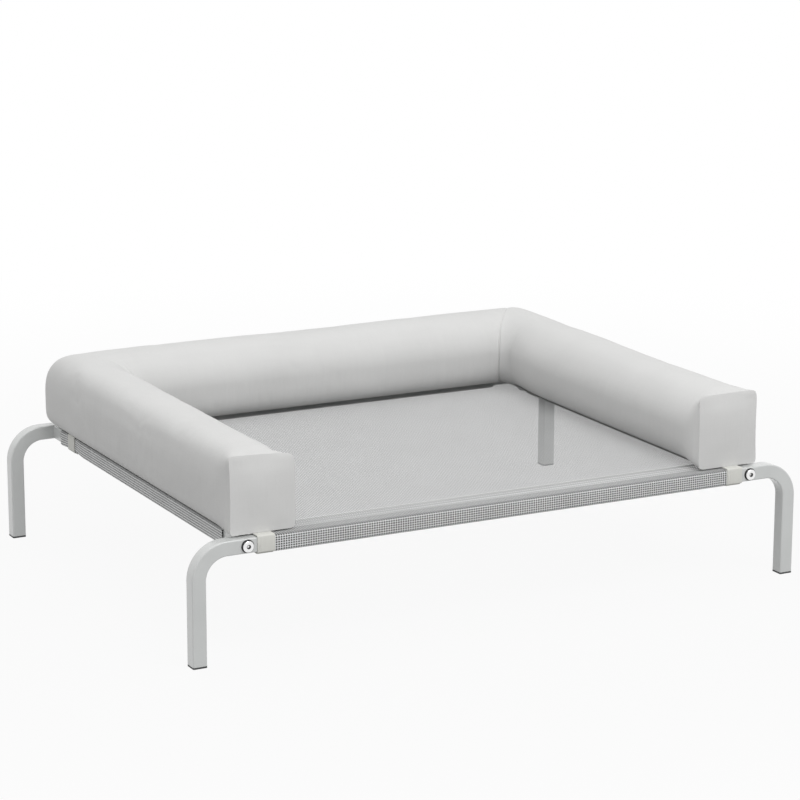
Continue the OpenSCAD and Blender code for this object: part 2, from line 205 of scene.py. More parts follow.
class Effects:
    """Surface effects that several finishes share, each built once as a node group."""

    BROAD_DETAIL, FINE_DETAIL, FINE_FACTOR = 3.0, 1.0, 22.0
    BROAD_RANGE: ClassVar[Range] = (0.3, 0.7)
    WEAVE_CROWN, WEAVE_LAP = 0.62, 0.38
    MESH_CROWN, MESH_LAP = 0.75, 0.25
    HOLE_POWER = 4.0
    TONE_SEEDS: ClassVar[Range] = (0.37, 531.41)

    def __init__(self) -> None:
        """Build every group."""
        self.mottle = self._mottle()
        self.weave = self._weave()
        self.open_mesh = self._open_mesh()

    @staticmethod
    def _start(name: str, values: Sequence[str], results: Sequence[str]) -> tuple[NodeBench, Node, Node]:
        """Open a new group that takes a vector and some values.

        Args:
            name: The group's name.
            values: Names of the inputs beside the vector.
            results: Names of the outputs.

        Returns:
            The bench, the group's input node and its output node.
        """
        tree = bpy.data.node_groups.new(name, "ShaderNodeTree")
        tree.interface.new_socket("Vector", in_out="INPUT", socket_type="NodeSocketVector")
        for way, labels in (("INPUT", values), ("OUTPUT", results)):
            for label in labels:
                tree.interface.new_socket(label, in_out=way, socket_type="NodeSocketFloat")
        bench = NodeBench(tree)
        return bench, bench.place("NodeGroupInput"), bench.place("NodeGroupOutput")

    def _mottle(self) -> NodeTree:
        """Make uneven tone at one scale: Broad for colour, Fine for grain.

        Returns:
            The group.
        """
        bench, taken, given = self._start("mottle", ("Scale",), ("Broad", "Fine"))
        noises = []
        for factor, detail in ((1.0, self.BROAD_DETAIL), (self.FINE_FACTOR, self.FINE_DETAIL)):
            scale = bench.math("MULTIPLY", taken.outputs["Scale"], factor)
            sockets = {"Vector": taken.outputs["Vector"], "Scale": scale, "Detail": detail}
            noises.append(bench.place("ShaderNodeTexNoise", sockets).outputs[0])
        bench.feed(given.inputs["Broad"], bench.ramp(noises[0], self.BROAD_RANGE, (0.0, 1.0)))
        bench.feed(given.inputs["Fine"], noises[1])
        return bench.tree

    @staticmethod
    def _threads(bench: NodeBench, taken: Node) -> list[tuple[NodeSocket, NodeSocket, NodeSocket]]:
        """Split the cloth into warp and weft threads.

        Args:
            bench: Where to place the nodes.
            taken: The group's input node.

        Returns:
            For each: the place across the thread from -0.5 to 0.5, the count along it, and its number.
        """
        runs = zip(bench.split(taken.outputs["Vector"]), ("Across", "Along"))
        counts = [bench.math("DIVIDE", run, taken.outputs[pitch]) for run, pitch in runs]
        numbers = [bench.math("FLOOR", count) for count in counts]
        shares = [bench.math("SUBTRACT", *pair) for pair in zip(counts, numbers)]
        places = [bench.math("SUBTRACT", share, 0.5) for share in shares]
        return list(zip(places, reversed(counts), numbers))

    def _weave(self) -> NodeTree:
        """Make a plain weave: Height of the threads and Tone from thread to thread.

        Returns:
            The group.
        """
        bench, taken, given = self._start("plain_weave", ("Across", "Along"), ("Height", "Tone"))
        laps, heights, tones = (self.WEAVE_LAP, -self.WEAVE_LAP), [], []
        for (at, run, number), lap, shift in zip(self._threads(bench, taken), laps, self.TONE_SEEDS):
            crown = bench.math("COSINE", bench.math("MULTIPLY", at, math.pi))
            wave = bench.math("SINE", bench.math("MULTIPLY", bench.math("ADD", run, number), math.pi))
            lift = bench.math("MULTIPLY_ADD", wave, lap, self.WEAVE_CROWN)
            heights.append(bench.math("MULTIPLY", crown, lift))
            seed = {"W": bench.math("ADD", number, shift)}
            tones.append(bench.place("ShaderNodeTexWhiteNoise", seed, noise_dimensions="1D").outputs["Value"])
        bench.feed(given.inputs["Height"], bench.math("MAXIMUM", *heights))
        bench.feed(given.inputs["Tone"], bench.math("MULTIPLY", bench.math("ADD", *tones), 0.5))
        return bench.tree

    def _open_mesh(self) -> NodeTree:
        """Make an open square mesh: Yarn is 1 on the yarns and 0 in the holes, Height rounds the yarns.

        Returns:
            The group.
        """
        bench, taken, given = self._start("open_mesh", ("Across", "Along", "Gap"), ("Yarn", "Height"))
        half_gap = bench.math("MULTIPLY", taken.outputs["Gap"], 0.5)
        half_yarn = bench.math("SUBTRACT", 0.5, half_gap)
        laps, reach, heights = (self.MESH_LAP, -self.MESH_LAP), [], []
        for (at, run, number), lap in zip(self._threads(bench, taken), laps):
            off = bench.math("ABSOLUTE", at)
            reach.append(bench.math("POWER", bench.math("DIVIDE", off, half_gap), self.HOLE_POWER))
            from_middle = bench.math("DIVIDE", bench.math("SUBTRACT", 0.5, off), half_yarn)
            flank = bench.math("SUBTRACT", 1.0, bench.math("POWER", from_middle, 2.0), clamp=True)
            wave = bench.math("COSINE", bench.math("MULTIPLY", bench.math("ADD", run, number), math.pi))
            lift = bench.math("MULTIPLY_ADD", wave, lap, self.MESH_CROWN)
            heights.append(bench.math("MULTIPLY", bench.math("SQRT", flank), lift))
        bench.feed(given.inputs["Yarn"], bench.math("GREATER_THAN", bench.math("ADD", *reach), 1.0))
        bench.feed(given.inputs["Height"], bench.math("MAXIMUM", *heights))
        return bench.tree


@dataclass(frozen=True)
class Finish:
    """A surface finish: its name, main colour, the shader's fixed values and an uneven, grained skin."""

    name: str
    colour: Colour
    roughness: float = 0.5
    metallic: float = 0.0
    sheen: float = 0.0
    sheen_roughness: float = 0.5
    specular: float = 0.5
    coat: float = 0.0
    coat_roughness: float = 0.03
    scale: float = 40.0
    tone_by: Grain = Grain.BROAD
    tones: Range = (0.94, 1.04)
    gloss_by: Grain = Grain.FINE
    gloss_range: Range = (0.3, 0.7)
    gloss_swing: Range = (0.06, 0.06)
    bump: Range = (0.0002, 0.25)

    def start(self) -> tuple[Material, NodeBench, Node]:
        """Open the material with its shader and fixed values.

        Returns:
            The material, its bench and its Principled shader.
        """
        material = bpy.data.materials.new(self.name)
        material.use_nodes = True
        shader = material.node_tree.nodes["Principled BSDF"]
        for socket, value in (
            ("Base Color", self.colour),
            ("Roughness", self.roughness),
            ("Metallic", self.metallic),
            ("Sheen Weight", self.sheen),
            ("Sheen Roughness", self.sheen_roughness),
            ("Specular IOR Level", self.specular),
            ("Coat Weight", self.coat),
            ("Coat Roughness", self.coat_roughness),
        ):
            shader.inputs[socket].default_value = value
        return material, NodeBench(material.node_tree), shader

    def shade(self, factor: float) -> Colour:
        """Give the main colour, darker or lighter by a factor."""
        return (self.colour[0] * factor, self.colour[1] * factor, self.colour[2] * factor, 1.0)

    def toned(self, bench: NodeBench, share: NodeSocket) -> NodeSocket:
        """Vary the main colour between its two tones."""
        return bench.tint(share, *(self.shade(tone) for tone in self.tones))

    @staticmethod
    def object_points(bench: NodeBench) -> NodeSocket:
        """Give the Object coordinates."""
        return bench.place("ShaderNodeTexCoord").outputs["Object"]

    @staticmethod
    def cloth_points(bench: NodeBench) -> NodeSocket:
        """Give the piece's own cloth coordinates, in metres along the cloth."""
        return bench.place("ShaderNodeUVMap", uv_map="cloth").outputs["UV"]

    def paint(
        self, bench: NodeBench, shader: Node, colour: NodeSocket, gloss: NodeSocket,
        *layers: tuple[NodeSocket, float, float],
    ) -> None:
        """Feed the shader its colour, its roughness and a stack of bump layers.

        Args:
            bench: The material's bench.
            shader: Its Principled shader.
            colour: The colour.
            gloss: What the roughness varies with.
            *layers: Each layer's height, its depth in metres and its strength.
        """
        less, more = self.gloss_swing
        swing = (self.roughness - less, self.roughness + more)
        bench.feed(shader.inputs["Base Color"], colour)
        bench.feed(shader.inputs["Roughness"], bench.ramp(gloss, self.gloss_range, swing))
        below: dict[str, NodeSocket] = {}
        for height, depth, strength in layers:
            sockets = {"Distance": depth, "Strength": strength, "Height": height, **below}
            below = {"Normal": bench.place("ShaderNodeBump", sockets).outputs[0]}
        bench.feed(shader.inputs["Normal"], below["Normal"])

    def make(self, effects: Effects) -> Material:
        """Make the material with uneven tone and grain.

        Args:
            effects: The shared node groups.

        Returns:
            The finished material.
        """
        material, bench, shader = self.start()
        skin = bench.use(effects.mottle, Vector=self.object_points(bench), Scale=self.scale).outputs
        colour = self.toned(bench, skin[self.tone_by.value])
        self.paint(bench, shader, colour, skin[self.gloss_by.value], (skin["Fine"], *self.bump))
        return material


@dataclass(frozen=True)
class SatinPaint(Finish):
    """Stoved satin paint on steel tube, with a faint orange-peel skin."""

    coat: float = 1.0
    coat_roughness: float = 0.22
    scale: float = 17.5
    tones: Range = (0.965, 1.02)
    gloss_by: Grain = Grain.BROAD
    gloss_range: Range = (0.0, 1.0)
    gloss_swing: Range = (0.05, 0.05)
    bump: Range = (0.00025, 0.16)


@dataclass(frozen=True)
class Fuzz(Finish):
    """Loose fibre: loops of a closing tape, or filling."""

    scale: float = 43.75
    tone_by: Grain = Grain.FINE
    tones: Range = (0.8, 1.08)
    gloss_by: Grain = Grain.BROAD
    gloss_range: Range = (0.0, 1.0)
    gloss_swing: Range = (0.05, 0.05)
    bump: Range = (0.0008, 0.7)


@dataclass(frozen=True)
class ZincPlate(Finish):
    """Bright zinc plate with fine rubbed scratches, with painted shade in the sockets of the corner bolts."""

    metallic: float = 1.0
    scale: float = 160.0
    tones: Range = (0.93, 1.0)
    gloss_swing: Range = (0.05, 0.1)
    bump: Range = (0.00004, 0.2)
    scratch: float = 900.0
    scratch_stretch: Triple = (1.0, 1.0, 14.0)
    socket: float = 0.0
    # Painted shade in the bolt sockets: its darkness and where it lies.
    socket_painted_shade: float = 0.16
    socket_rim: Range = (1.0, 1.12)
    socket_floor: Range = (0.30, 0.65)
    floor_share: float = 0.15
    axis_x: float = 0.387
    axis_z: float = 0.155

    def make(self, effects: Effects) -> Material:
        """Make the plate.

        Args:
            effects: The shared node groups.

        Returns:
            The finished material.
        """
        material, bench, shader = self.start()
        points = self.object_points(bench)
        tone = bench.use(effects.mottle, Vector=points, Scale=self.scale)
        rubbed = bench.place("ShaderNodeMapping", {"Scale": self.scratch_stretch, "Vector": points})
        sockets = {"Scale": self.scratch, "Vector": rubbed.outputs[0]}
        lines = bench.place("ShaderNodeTexNoise", sockets).outputs[0]
        plate = self.toned(bench, tone.outputs["Broad"])
        if self.socket:
            # Painted shade: the bolt sockets are darkened towards a dark grey.
            plate = bench.tint(self.socket_shade_mask(bench, points), plate, self.shade(self.socket_painted_shade))
        self.paint(bench, shader, plate, lines, (lines, *self.bump))
        return material

    def socket_shade_mask(self, bench: NodeBench, points: NodeSocket) -> NodeSocket:
        """Mark where shade is painted: the wall of each bolt's socket, and its floor more weakly.

        Args:
            bench: The material's bench.
            points: The Object coordinates.

        Returns:
            1 at the wall, down to 0 outside.
        """
        x, _, z = bench.split(points)
        off_x = bench.math("SUBTRACT", bench.math("ABSOLUTE", x), self.axis_x)
        off_z = bench.math("SUBTRACT", z, self.axis_z)
        squares = [bench.math("POWER", off, 2.0) for off in (off_x, off_z)]
        away = bench.math("SQRT", bench.math("ADD", *squares))
        spans = (self.socket_rim, self.socket_floor)
        rim, floor = ([self.socket * share for share in span] for span in spans)
        outer = bench.ramp(away, rim, (1.0, 0.0))
        return bench.math("MULTIPLY", outer, bench.ramp(away, floor, (self.floor_share, 1.0)))


@dataclass(frozen=True)
class Woven(Finish):
    """Plain-woven cloth, such as a strap with ribs along its length, with painted shade between its threads.
    """

    scale: float = 60.0
    tones: Range = (0.93, 1.03)
    gloss_range: Range = (0.1, 0.9)
    gloss_swing: Range = (-0.06, -0.06)
    bump: Range = (0.0004, 0.6)
    across: float = 0.0016
    along: float = 0.0011
    thread_share: float = 0.5
    # Painted shade in the valleys between the threads.
    valley_shade_range: Range = (0.1, 0.7)
    valley_shade_share: float = 0.55
    valley_painted_shade: float = 0.7
    pull: Range = (0.0, 0.0)
    pull_scale: Triple = (62.0, 13.0, 1.0)
    unevenness: Range = (0.0015, 0.20)

    def make(self, effects: Effects) -> Material:
        """Make the cloth.

        Args:
            effects: The shared node groups.

        Returns:
            The finished material.
        """
        material, bench, shader = self.start()
        cloth = self.cloth_points(bench)
        weave = bench.use(effects.weave, Vector=cloth, Across=self.across, Along=self.along).outputs
        broad = bench.use(effects.mottle, Vector=self.object_points(bench), Scale=self.scale).outputs["Broad"]
        patch = bench.math("MULTIPLY", broad, 1 - self.thread_share)
        base = self.toned(bench, bench.math("MULTIPLY_ADD", weave["Tone"], self.thread_share, patch))
        # Painted shade: the valleys between the threads are darkened.
        valley_shadow = bench.ramp(weave["Height"], self.valley_shade_range, (self.valley_shade_share, 0.0))
        colour = bench.tint(valley_shadow, base, self.shade(self.valley_painted_shade))
        layers = [(weave["Height"], *self.bump)]
        if any(self.pull):
            drawn = bench.place("ShaderNodeMapping", {"Scale": self.pull_scale, "Vector": cloth}).outputs[0]
            lines = bench.place("ShaderNodeTexNoise", {"Scale": 1.0, "Detail": 3.0, "Vector": drawn})
            layers = [(lines.outputs[0], *self.pull), (broad, *self.unevenness), *layers]
        self.paint(bench, shader, colour, weave["Height"], *layers)
        return material


@dataclass(frozen=True)
class CoverCloth(Woven):
    """Close plain-woven polyester over filling, with faint pull lines round the roll."""

    sheen_roughness: float = 0.45
    scale: float = 9.0
    tones: Range = (0.965, 1.015)
    bump: Range = (0.00025, 0.45)
    across: float = 0.0011
    thread_share: float = 0.3
    valley_shade_range: Range = (0.15, 0.75)
    valley_shade_share: float = 0.35
    valley_painted_shade: float = 0.8
    pull: Range = (0.0022, 0.30)


@dataclass(frozen=True)
class SlingMesh(Finish):
    """Coated polyester yarn in an open square mesh, with painted light and shade: dark holes over the rails,
    darker yarn flanks, and tones set zone by zone.
    """

    scale: float = 14.0
    gloss_range: Range = (0.0, 1.0)
    gloss_swing: Range = (0.08, 0.08)
    bump: Range = (0.0006, 0.5)
    across: float = 0.00355
    along: float = 0.00316
    plies: int = 8
    ply_bump: Range = (0.0001, 0.3)
    wear: float = 0.06
    # Painted shade on the yarn flanks beside the holes.
    flank_shade_range: Range = (0.1, 0.7)
    flank_shade_share: float = 0.30
    flank_painted_shade: float = 0.35
    hole_painted_shadow: float = 0.03
    gap: float = 0.57
    face_gap: float = 0.63
    side_gap: float = 0.57
    # Tones by zone are painted light and shade: a darker panel, and a lighter hem and front face.
    panel_painted_shade: float = 0.53
    hem_painted_shade: float = 0.92
    face_painted_light: float = 1.16
    hem_x: Range = (0.3473, 0.3965)
    hem_y: Range = (0.2918, 0.3395)
    face_x: Range = (0.3980, 0.4225)
    face_y: Range = (0.3428, 0.3670)
    # Over the rails the holes hold painted shadow instead of being clear.
    rail_x: Range = (0.3755, 0.4435)
    rail_y: Range = (0.3215, 0.3880)

    @staticmethod
    def within(bench: NodeBench, cloth: NodeSocket, *ranges: Range) -> NodeSocket:
        """Mark the cloth between two distances from its middle, along either axis.

        Args:
            bench: The material's bench.
            cloth: The cloth coordinates.
            *ranges: Distances along X and along Y.

        Returns:
            1 within a range and 0 elsewhere.
        """
        marks = []
        for coordinate, (start, end) in zip(bench.split(cloth), ranges):
            middle = bench.math("SUBTRACT", bench.math("ABSOLUTE", coordinate), (start + end) / 2)
            marks.append(bench.math("LESS_THAN", bench.math("ABSOLUTE", middle), (end - start) / 2))
        return bench.math("MAXIMUM", *marks)

    def make(self, effects: Effects) -> Material:
        """Make the mesh, clear in its holes except over the rails, where the holes hold painted shadow.

        Args:
            effects: The shared node groups.

        Returns:
            The finished material.
        """
        material, bench, shader = self.start()
        cloth = self.cloth_points(bench)
        on_hem = self.within(bench, cloth, self.hem_x, self.hem_y)
        on_face = self.within(bench, cloth, self.face_x, self.face_y)
        shadow_over_rail = self.within(bench, cloth, self.rail_x, self.rail_y)
        on_side = self.within(bench, cloth, self.face_x, NOWHERE)
        sewn = bench.math("MAXIMUM", on_hem, on_face)
        gap = bench.math("MULTIPLY_ADD", sewn, self.face_gap - self.gap, self.gap)
        gap = bench.math("MULTIPLY_ADD", on_side, self.side_gap - self.face_gap, gap)
        cell = {"Across": self.across, "Along": self.along}
        net = bench.use(effects.open_mesh, Vector=cloth, Gap=gap, **cell).outputs
        broad = bench.use(effects.mottle, Vector=cloth, Scale=self.scale).outputs["Broad"]
        fine = {name: pitch / self.plies for name, pitch in cell.items()}
        ply = bench.use(effects.weave, Vector=cloth, **fine).outputs
        # Painted light and shade: the panel, the hem and the front face are lit and shaded copies of one yarn
        # colour.
        flat = bench.tint(on_hem, self.shade(self.panel_painted_shade), self.shade(self.hem_painted_shade))
        flat = bench.tint(on_face, flat, self.shade(self.face_painted_light))
        worn = bench.tint(bench.math("MULTIPLY", broad, self.wear), flat, BLACK)
        # Painted shade on the yarn flanks beside each hole.
        edge = bench.ramp(net["Height"], self.flank_shade_range, (self.flank_shade_share, 0.0))
        yarn = bench.tint(edge, worn, self.shade(self.flank_painted_shade))
        # Painted shadow: over the rails the holes are opaque and near black.
        colour = bench.tint(net["Yarn"], self.shade(self.hole_painted_shadow), yarn)
        bench.feed(shader.inputs["Alpha"], bench.math("MAXIMUM", net["Yarn"], shadow_over_rail))
        layers = ((net["Height"], *self.bump), (ply["Height"], *self.ply_bump))
        self.paint(bench, shader, colour, ply["Tone"], *layers)
        return material


class Wardrobe:
    """Every finish of the cot, by the record's slot name."""

    FINISHES: ClassVar[tuple[Finish, ...]] = (
        SatinPaint("frame_paint", display(206, 208, 207), roughness=0.38),
        Finish("foot_plastic", display(66, 67, 68), roughness=0.6),
        ZincPlate("joiner_steel", display(170, 171, 173), roughness=0.4),
        Finish("plug_plastic", display(60, 60, 61), roughness=0.55),
        ZincPlate("bolt_zinc", display(246, 246, 246), roughness=0.22, socket=0.0029),
        Finish("washer_rubber", display(38, 38, 39), roughness=0.75),
        ZincPlate("nut_steel", display(200, 201, 203), roughness=0.35),
        SlingMesh("sling_mesh", display(218, 219, 219), roughness=0.6, specular=0.3),
        Woven("webbing", display(229, 229, 223), roughness=0.75, sheen=0.15),
        Fuzz("closure_tape", display(210, 210, 203), roughness=0.9, sheen=0.3),
        CoverCloth("bolster_cover", display(217, 217, 216), roughness=0.82, sheen=0.12, specular=0.3),
        Fuzz("bolster_fill", display(238, 238, 234), roughness=0.95, sheen=0.3, scale=15.0),
        Woven("sewing_thread", display(205, 206, 205), roughness=0.6, across=0.0004, along=0.0006),
    )

    def __init__(self) -> None:
        """Make all the materials."""
        effects = Effects()
        self.materials = {finish.name: finish.make(effects) for finish in self.FINISHES}

    def __getitem__(self, name: str) -> Material:
        """Give a material by its name."""
        return self.materials[name]


def put(name: str, data: ID) -> Object:
    """Put a mesh, a lamp or a camera into the scene.

    Args:
        name: The object's name.
        data: What it holds.

    Returns:
        The new object.
    """
    item = bpy.data.objects.new(name, data)
    bpy.context.scene.collection.objects.link(item)
    return item


def add_piece(
    name: str, mesh: Mesh, material: Material, body: Body, stands_for: Sequence[str] = ()
) -> Object:
    """Put a finished mesh into the scene as a piece of the cot.

    Args:
        name: The piece's name.
        mesh: Its mesh, in place.
        material: Its finish.
        body: The body that it moves with.
        stands_for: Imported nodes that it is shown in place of.

    Returns:
        The new object.
    """
    piece = put(name, mesh)
    mesh.materials.append(material)
    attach(piece, body.value)
    if stands_for:
        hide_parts(*stands_for)
    LOG.info("%s: %d faces on %s", name, len(mesh.polygons), body.value)
    return piece


def finish_mesh(name: str, bm: BMesh, smooth: bool = True) -> Mesh:
    """Turn a bmesh into a mesh and free it.

    Args:
        name: The mesh's name.
        bm: The shape.
        smooth: Whether its faces are shaded smooth.

    Returns:
        The mesh.
    """
    for face in bm.faces:
        face.smooth = smooth
    mesh = bpy.data.meshes.new(name)
    bm.to_mesh(mesh)
    bm.free()
    return mesh


def extrude_rim(bm: BMesh, rim: list[BMEdge]) -> tuple[list[BMVert], list[BMEdge]]:
    """Extrude a chain of edges, to be moved by the caller.

    Args:
        bm: The shape.
        rim: The chain.

    Returns:
        The new vertices and the new chain.
    """
    made = bmesh.ops.extrude_edge_only(bm, edges=rim)["geom"]
    verts = [item for item in made if isinstance(item, BMVert)]
    fresh = set(verts)
    return verts, [item for item in made if isinstance(item, BMEdge) and set(item.verts) <= fresh]


@dataclass
class TubeFrame:
    """The painted tube frame with its feet, bolts, washers and inner fittings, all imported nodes."""

    def dress(self, wardrobe: Wardrobe) -> None:
        """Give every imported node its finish.

        Args:
            wardrobe: The finishes.
        """
        for part in frame["record"]["subparts"]:
            node = frame["nodes"][part["node"]]
            finish = wardrobe[part["material_slot"]]
            for place in node.material_slots:
                place.material = finish
            LOG.info("%s: %s", node.name, finish.name)


@dataclass
class Sling:
    """The stretched mesh, cut in one piece with a sleeve sewn round each rail."""

    half_wide: float = 0.3990
    half_deep: float = 0.3435
    sleeve_half_x: float = 0.3481
    sleeve_half_y: float = 0.2900
    top_z: float = 0.1655
    under_z: float = 0.1426
    landing_z: float = 0.1647
    edge_radius: float = 0.0034
    edge_steps: int = 5
    rail_side: float = 0.020
    clear: float = 0.0005
    sleeve_depth: float = 0.052
    seam: float = 0.008
    sag: float = 0.0018
    cell: float = 0.014
    cut_near: float = 1e-6
    edge_near: float = 1e-5
    support: float = 0.0009
    turn_lift: float = 0.0002
    slack: float = 0.0018
    bulge: float = 0.0014
    strap_y: float = 0.248
    strap_reach: float = 0.030
    stitch_length: float = 0.0042
    stitch_pitch: float = 0.0054
    stitch_radius: float = 0.0004
    stitch_flatness: float = 1.2
    row_margin: float = 0.006

    def section(self) -> list[Range]:
        """Trace the sleeve's section from the top edge round the rail to the seam.

        Returns:
            Points as distance outward from where the edge starts to turn, and height.
        """
        r, n = self.edge_radius, self.edge_steps
        turns = [math.radians(90 * i / n) for i in range(1, n + 1)]
        upper = [(r * math.sin(t), self.top_z - r + r * math.cos(t)) for t in turns]
        lower = [(r * math.cos(t), self.under_z + r - r * math.sin(t)) for t in turns]
        face = r - self.clear
        turn = face - self.rail_side - self.clear
        landing = face - self.sleeve_depth + self.seam
        slope = Vector((landing - turn, self.landing_z - self.under_z)).normalized() * self.support
        return [
            *upper,
            (r, self.top_z - r - self.support),
            (r, self.under_z + r + self.support),
            (r, self.under_z + r),
            *lower,
            (-self.support, self.under_z),
            (turn + self.support, self.under_z),
            (turn, self.under_z + self.turn_lift),
            (turn + slope.x, self.under_z + self.turn_lift + slope.y),
            (landing - slope.x, self.landing_z - slope.y),
            (landing - self.support, self.landing_z),
            (face - self.sleeve_depth, self.landing_z),
        ]

    def sleeve_length(self) -> float:
        """Add up the cloth in one sleeve's section."""
        path = [(0.0, self.top_z), *self.section()]
        return sum(math.dist(a, b) for a, b in zip(path, path[1:]))

    def flat_size(self) -> Triple:
        """Work out the cut before sewing.

        Returns:
            Width, length and area of the flat cut.
        """
        r, wrap = self.edge_radius, self.sleeve_length()
        reach_x, reach_y = self.half_wide - r, self.half_deep - r
        wide, deep = 2 * (reach_x + wrap), 2 * (reach_y + wrap)
        notch = (reach_x + wrap - self.sleeve_half_x) * (reach_y + wrap - self.sleeve_half_y)
        return wide, deep, wide * deep - 4 * notch

    def cut_lines(self) -> list[tuple[Vector, Vector]]:
        """List the lines that the flat panel is divided along.

        Returns:
            A point and a direction across for each line.
        """
        turn = self.edge_radius + self.support
        lines = []
        for sign in (-1, 1):
            for x in (self.sleeve_half_x, self.half_wide - turn):
                lines.append((Vector((sign * x, 0, 0)), Vector((1, 0, 0))))
            for y in (self.sleeve_half_y, self.half_deep - turn):
                lines.append((Vector((0, sign * y, 0)), Vector((0, 1, 0))))
        return lines

    def mesh(self) -> Mesh:
        """Shape the panel and wrap its four edges round the rails.

        Returns:
            The sling's mesh, with cloth coordinates.
        """
        bm = bmesh.new()
        reach = Vector((self.half_wide - self.edge_radius, self.half_deep - self.edge_radius, 1))
        columns, rows = (round(2 * half / self.cell) for half in reach.xy)
        place = Matrix.Translation((0, 0, self.top_z))
        bmesh.ops.create_grid(bm, x_segments=columns, y_segments=rows, size=1.0, matrix=place)
        bmesh.ops.scale(bm, vec=(reach.x, reach.y, 1), verts=bm.verts)
        for point, across in self.cut_lines():
            everything = [*bm.verts, *bm.edges, *bm.faces]
            bmesh.ops.bisect_plane(bm, geom=everything, dist=self.cut_near, plane_co=point, plane_no=across)
        corners = []
        for face in bm.faces:
            middle = face.calc_center_median()
            if abs(middle.x) > self.sleeve_half_x and abs(middle.y) > self.sleeve_half_y:
                corners.append(face)
        bmesh.ops.delete(bm, geom=corners, context="FACES")
        flat = {vert: (vert.co.x, vert.co.y) for vert in bm.verts}
        for edge in Edge:
            self.wrap(bm, edge, reach, flat)
        cloth = bm.loops.layers.uv.new("cloth")
        for face in bm.faces:
            for loop in face.loops:
                loop[cloth].uv = flat[loop.vert]
        rim = self.clear + self.sleeve_depth
        for vert in bm.verts:
            across, along = vert.co.x / (self.half_wide - rim), vert.co.y / (self.half_deep - rim)
            if abs(across) < 1 and abs(along) < 1:
                vert.co.z -= self.sag * (1 - across**2) * (1 - along**2)
        bmesh.ops.recalc_face_normals(bm, faces=bm.faces)
        if max(bm.faces, key=lambda face: face.calc_area()).normal.z < 0:
            bmesh.ops.reverse_faces(bm, faces=bm.faces)
        return finish_mesh("sling", bm)

    def wrap(self, bm: BMesh, edge: Edge, reach: Vector, flat: dict[BMVert, Range]) -> None:
        """Extrude one edge of the panel along the sleeve's section, drawn tight at the back straps.

        Args:
            bm: The sling so far.
            edge: Which edge.
            reach: Half sizes of the flat panel.
            flat: Cloth coordinates by vertex, added to here.
        """
        axis = 0 if edge.value[0] else 1
        sign, limit = edge.value[axis], reach[axis]
        rim = []
        for line in bm.edges:
            if line.is_boundary and min(sign * vert.co[axis] for vert in line.verts) > limit - self.edge_near:
                rim.append(line)
        run, before = limit, (0.0, self.top_z)
        for out, height in self.section():
            run += math.dist(before, (out, height))
            before = (out, height)
            fresh, rim = extrude_rim(bm, rim)
            hang = (self.top_z - height) / (self.top_z - self.under_z)
            for vert in fresh:
                tight = 0.0 if axis else math.exp(-(((vert.co.y - self.strap_y) / self.strap_reach) ** 4))
                drawn = self.bulge * tight * max(0.0, out / self.edge_radius)
                vert.co[axis] = sign * (limit + out - drawn)
                vert.co.z = height + self.slack * tight * hang
                flat[vert] = (vert.co.x, sign * run) if axis else (sign * run, vert.co.y)

    def build(self, wardrobe: Wardrobe) -> None:
        """Make the sling and its stitching.

        Args:
            wardrobe: The finishes.
        """
        nodes = ["sling_panel", "hem_front", "hem_back", "hem_left", "hem_right"]
        piece = add_piece("sling", self.mesh(), wardrobe["sling_mesh"], Body.FRAME, nodes)
        thread = wardrobe["sewing_thread"]
        rows = add_piece("sling_stitching", self.stitches(), thread, Body.FRAME)
        wide, deep, area = self.flat_size()

    def stitches(self) -> Mesh:
        """Sew each sleeve's seam with one row of stitches, seen above and below.

        Returns:
            The stitches as one mesh.
        """
        bm = bmesh.new()
        inward = -self.clear - self.sleeve_depth + self.seam / 2
        radius, pitch = self.stitch_radius, self.stitch_pitch
        stitch = Matrix.Diagonal((self.stitch_length / 2, radius * self.stitch_flatness, radius, 1))
        for edge in Edge:
            step_x, step_y = edge.value
            row = 2 * (self.sleeve_half_y if step_x else self.sleeve_half_x) - self.row_margin
            count = int(row / pitch)
            first = -(count - 1) / 2 * pitch
            x = step_x * (self.half_wide + inward) if step_x else first
            y = first if step_x else step_y * (self.half_deep + inward)
            turn = Matrix.Rotation(math.pi / 2 if step_x else 0.0, 4, "Z") @ stitch
            for height in (self.top_z, self.landing_z):
                place = Matrix.Translation((x, y, height)) @ turn
                made = bmesh.ops.create_uvsphere(bm, u_segments=6, v_segments=4, radius=1.0, matrix=place)
                faces = list(dict.fromkeys(face for vert in made["verts"] for face in vert.link_faces))
                bmesh.ops.spin(
                    bm, geom=faces, cent=(0, 0, 0), axis=(0, 0, 1), angle=0.0, steps=count - 1,
                    use_duplicate=True, dvec=(0, pitch, 0) if step_x else (pitch, 0, 0),
                )
        cloth = bm.loops.layers.uv.new("cloth")
        for face in bm.faces:
            for loop in face.loops:
                loop[cloth].uv = (loop.vert.co.x, loop.vert.co.y)
        return finish_mesh("sling_stitching", bm)


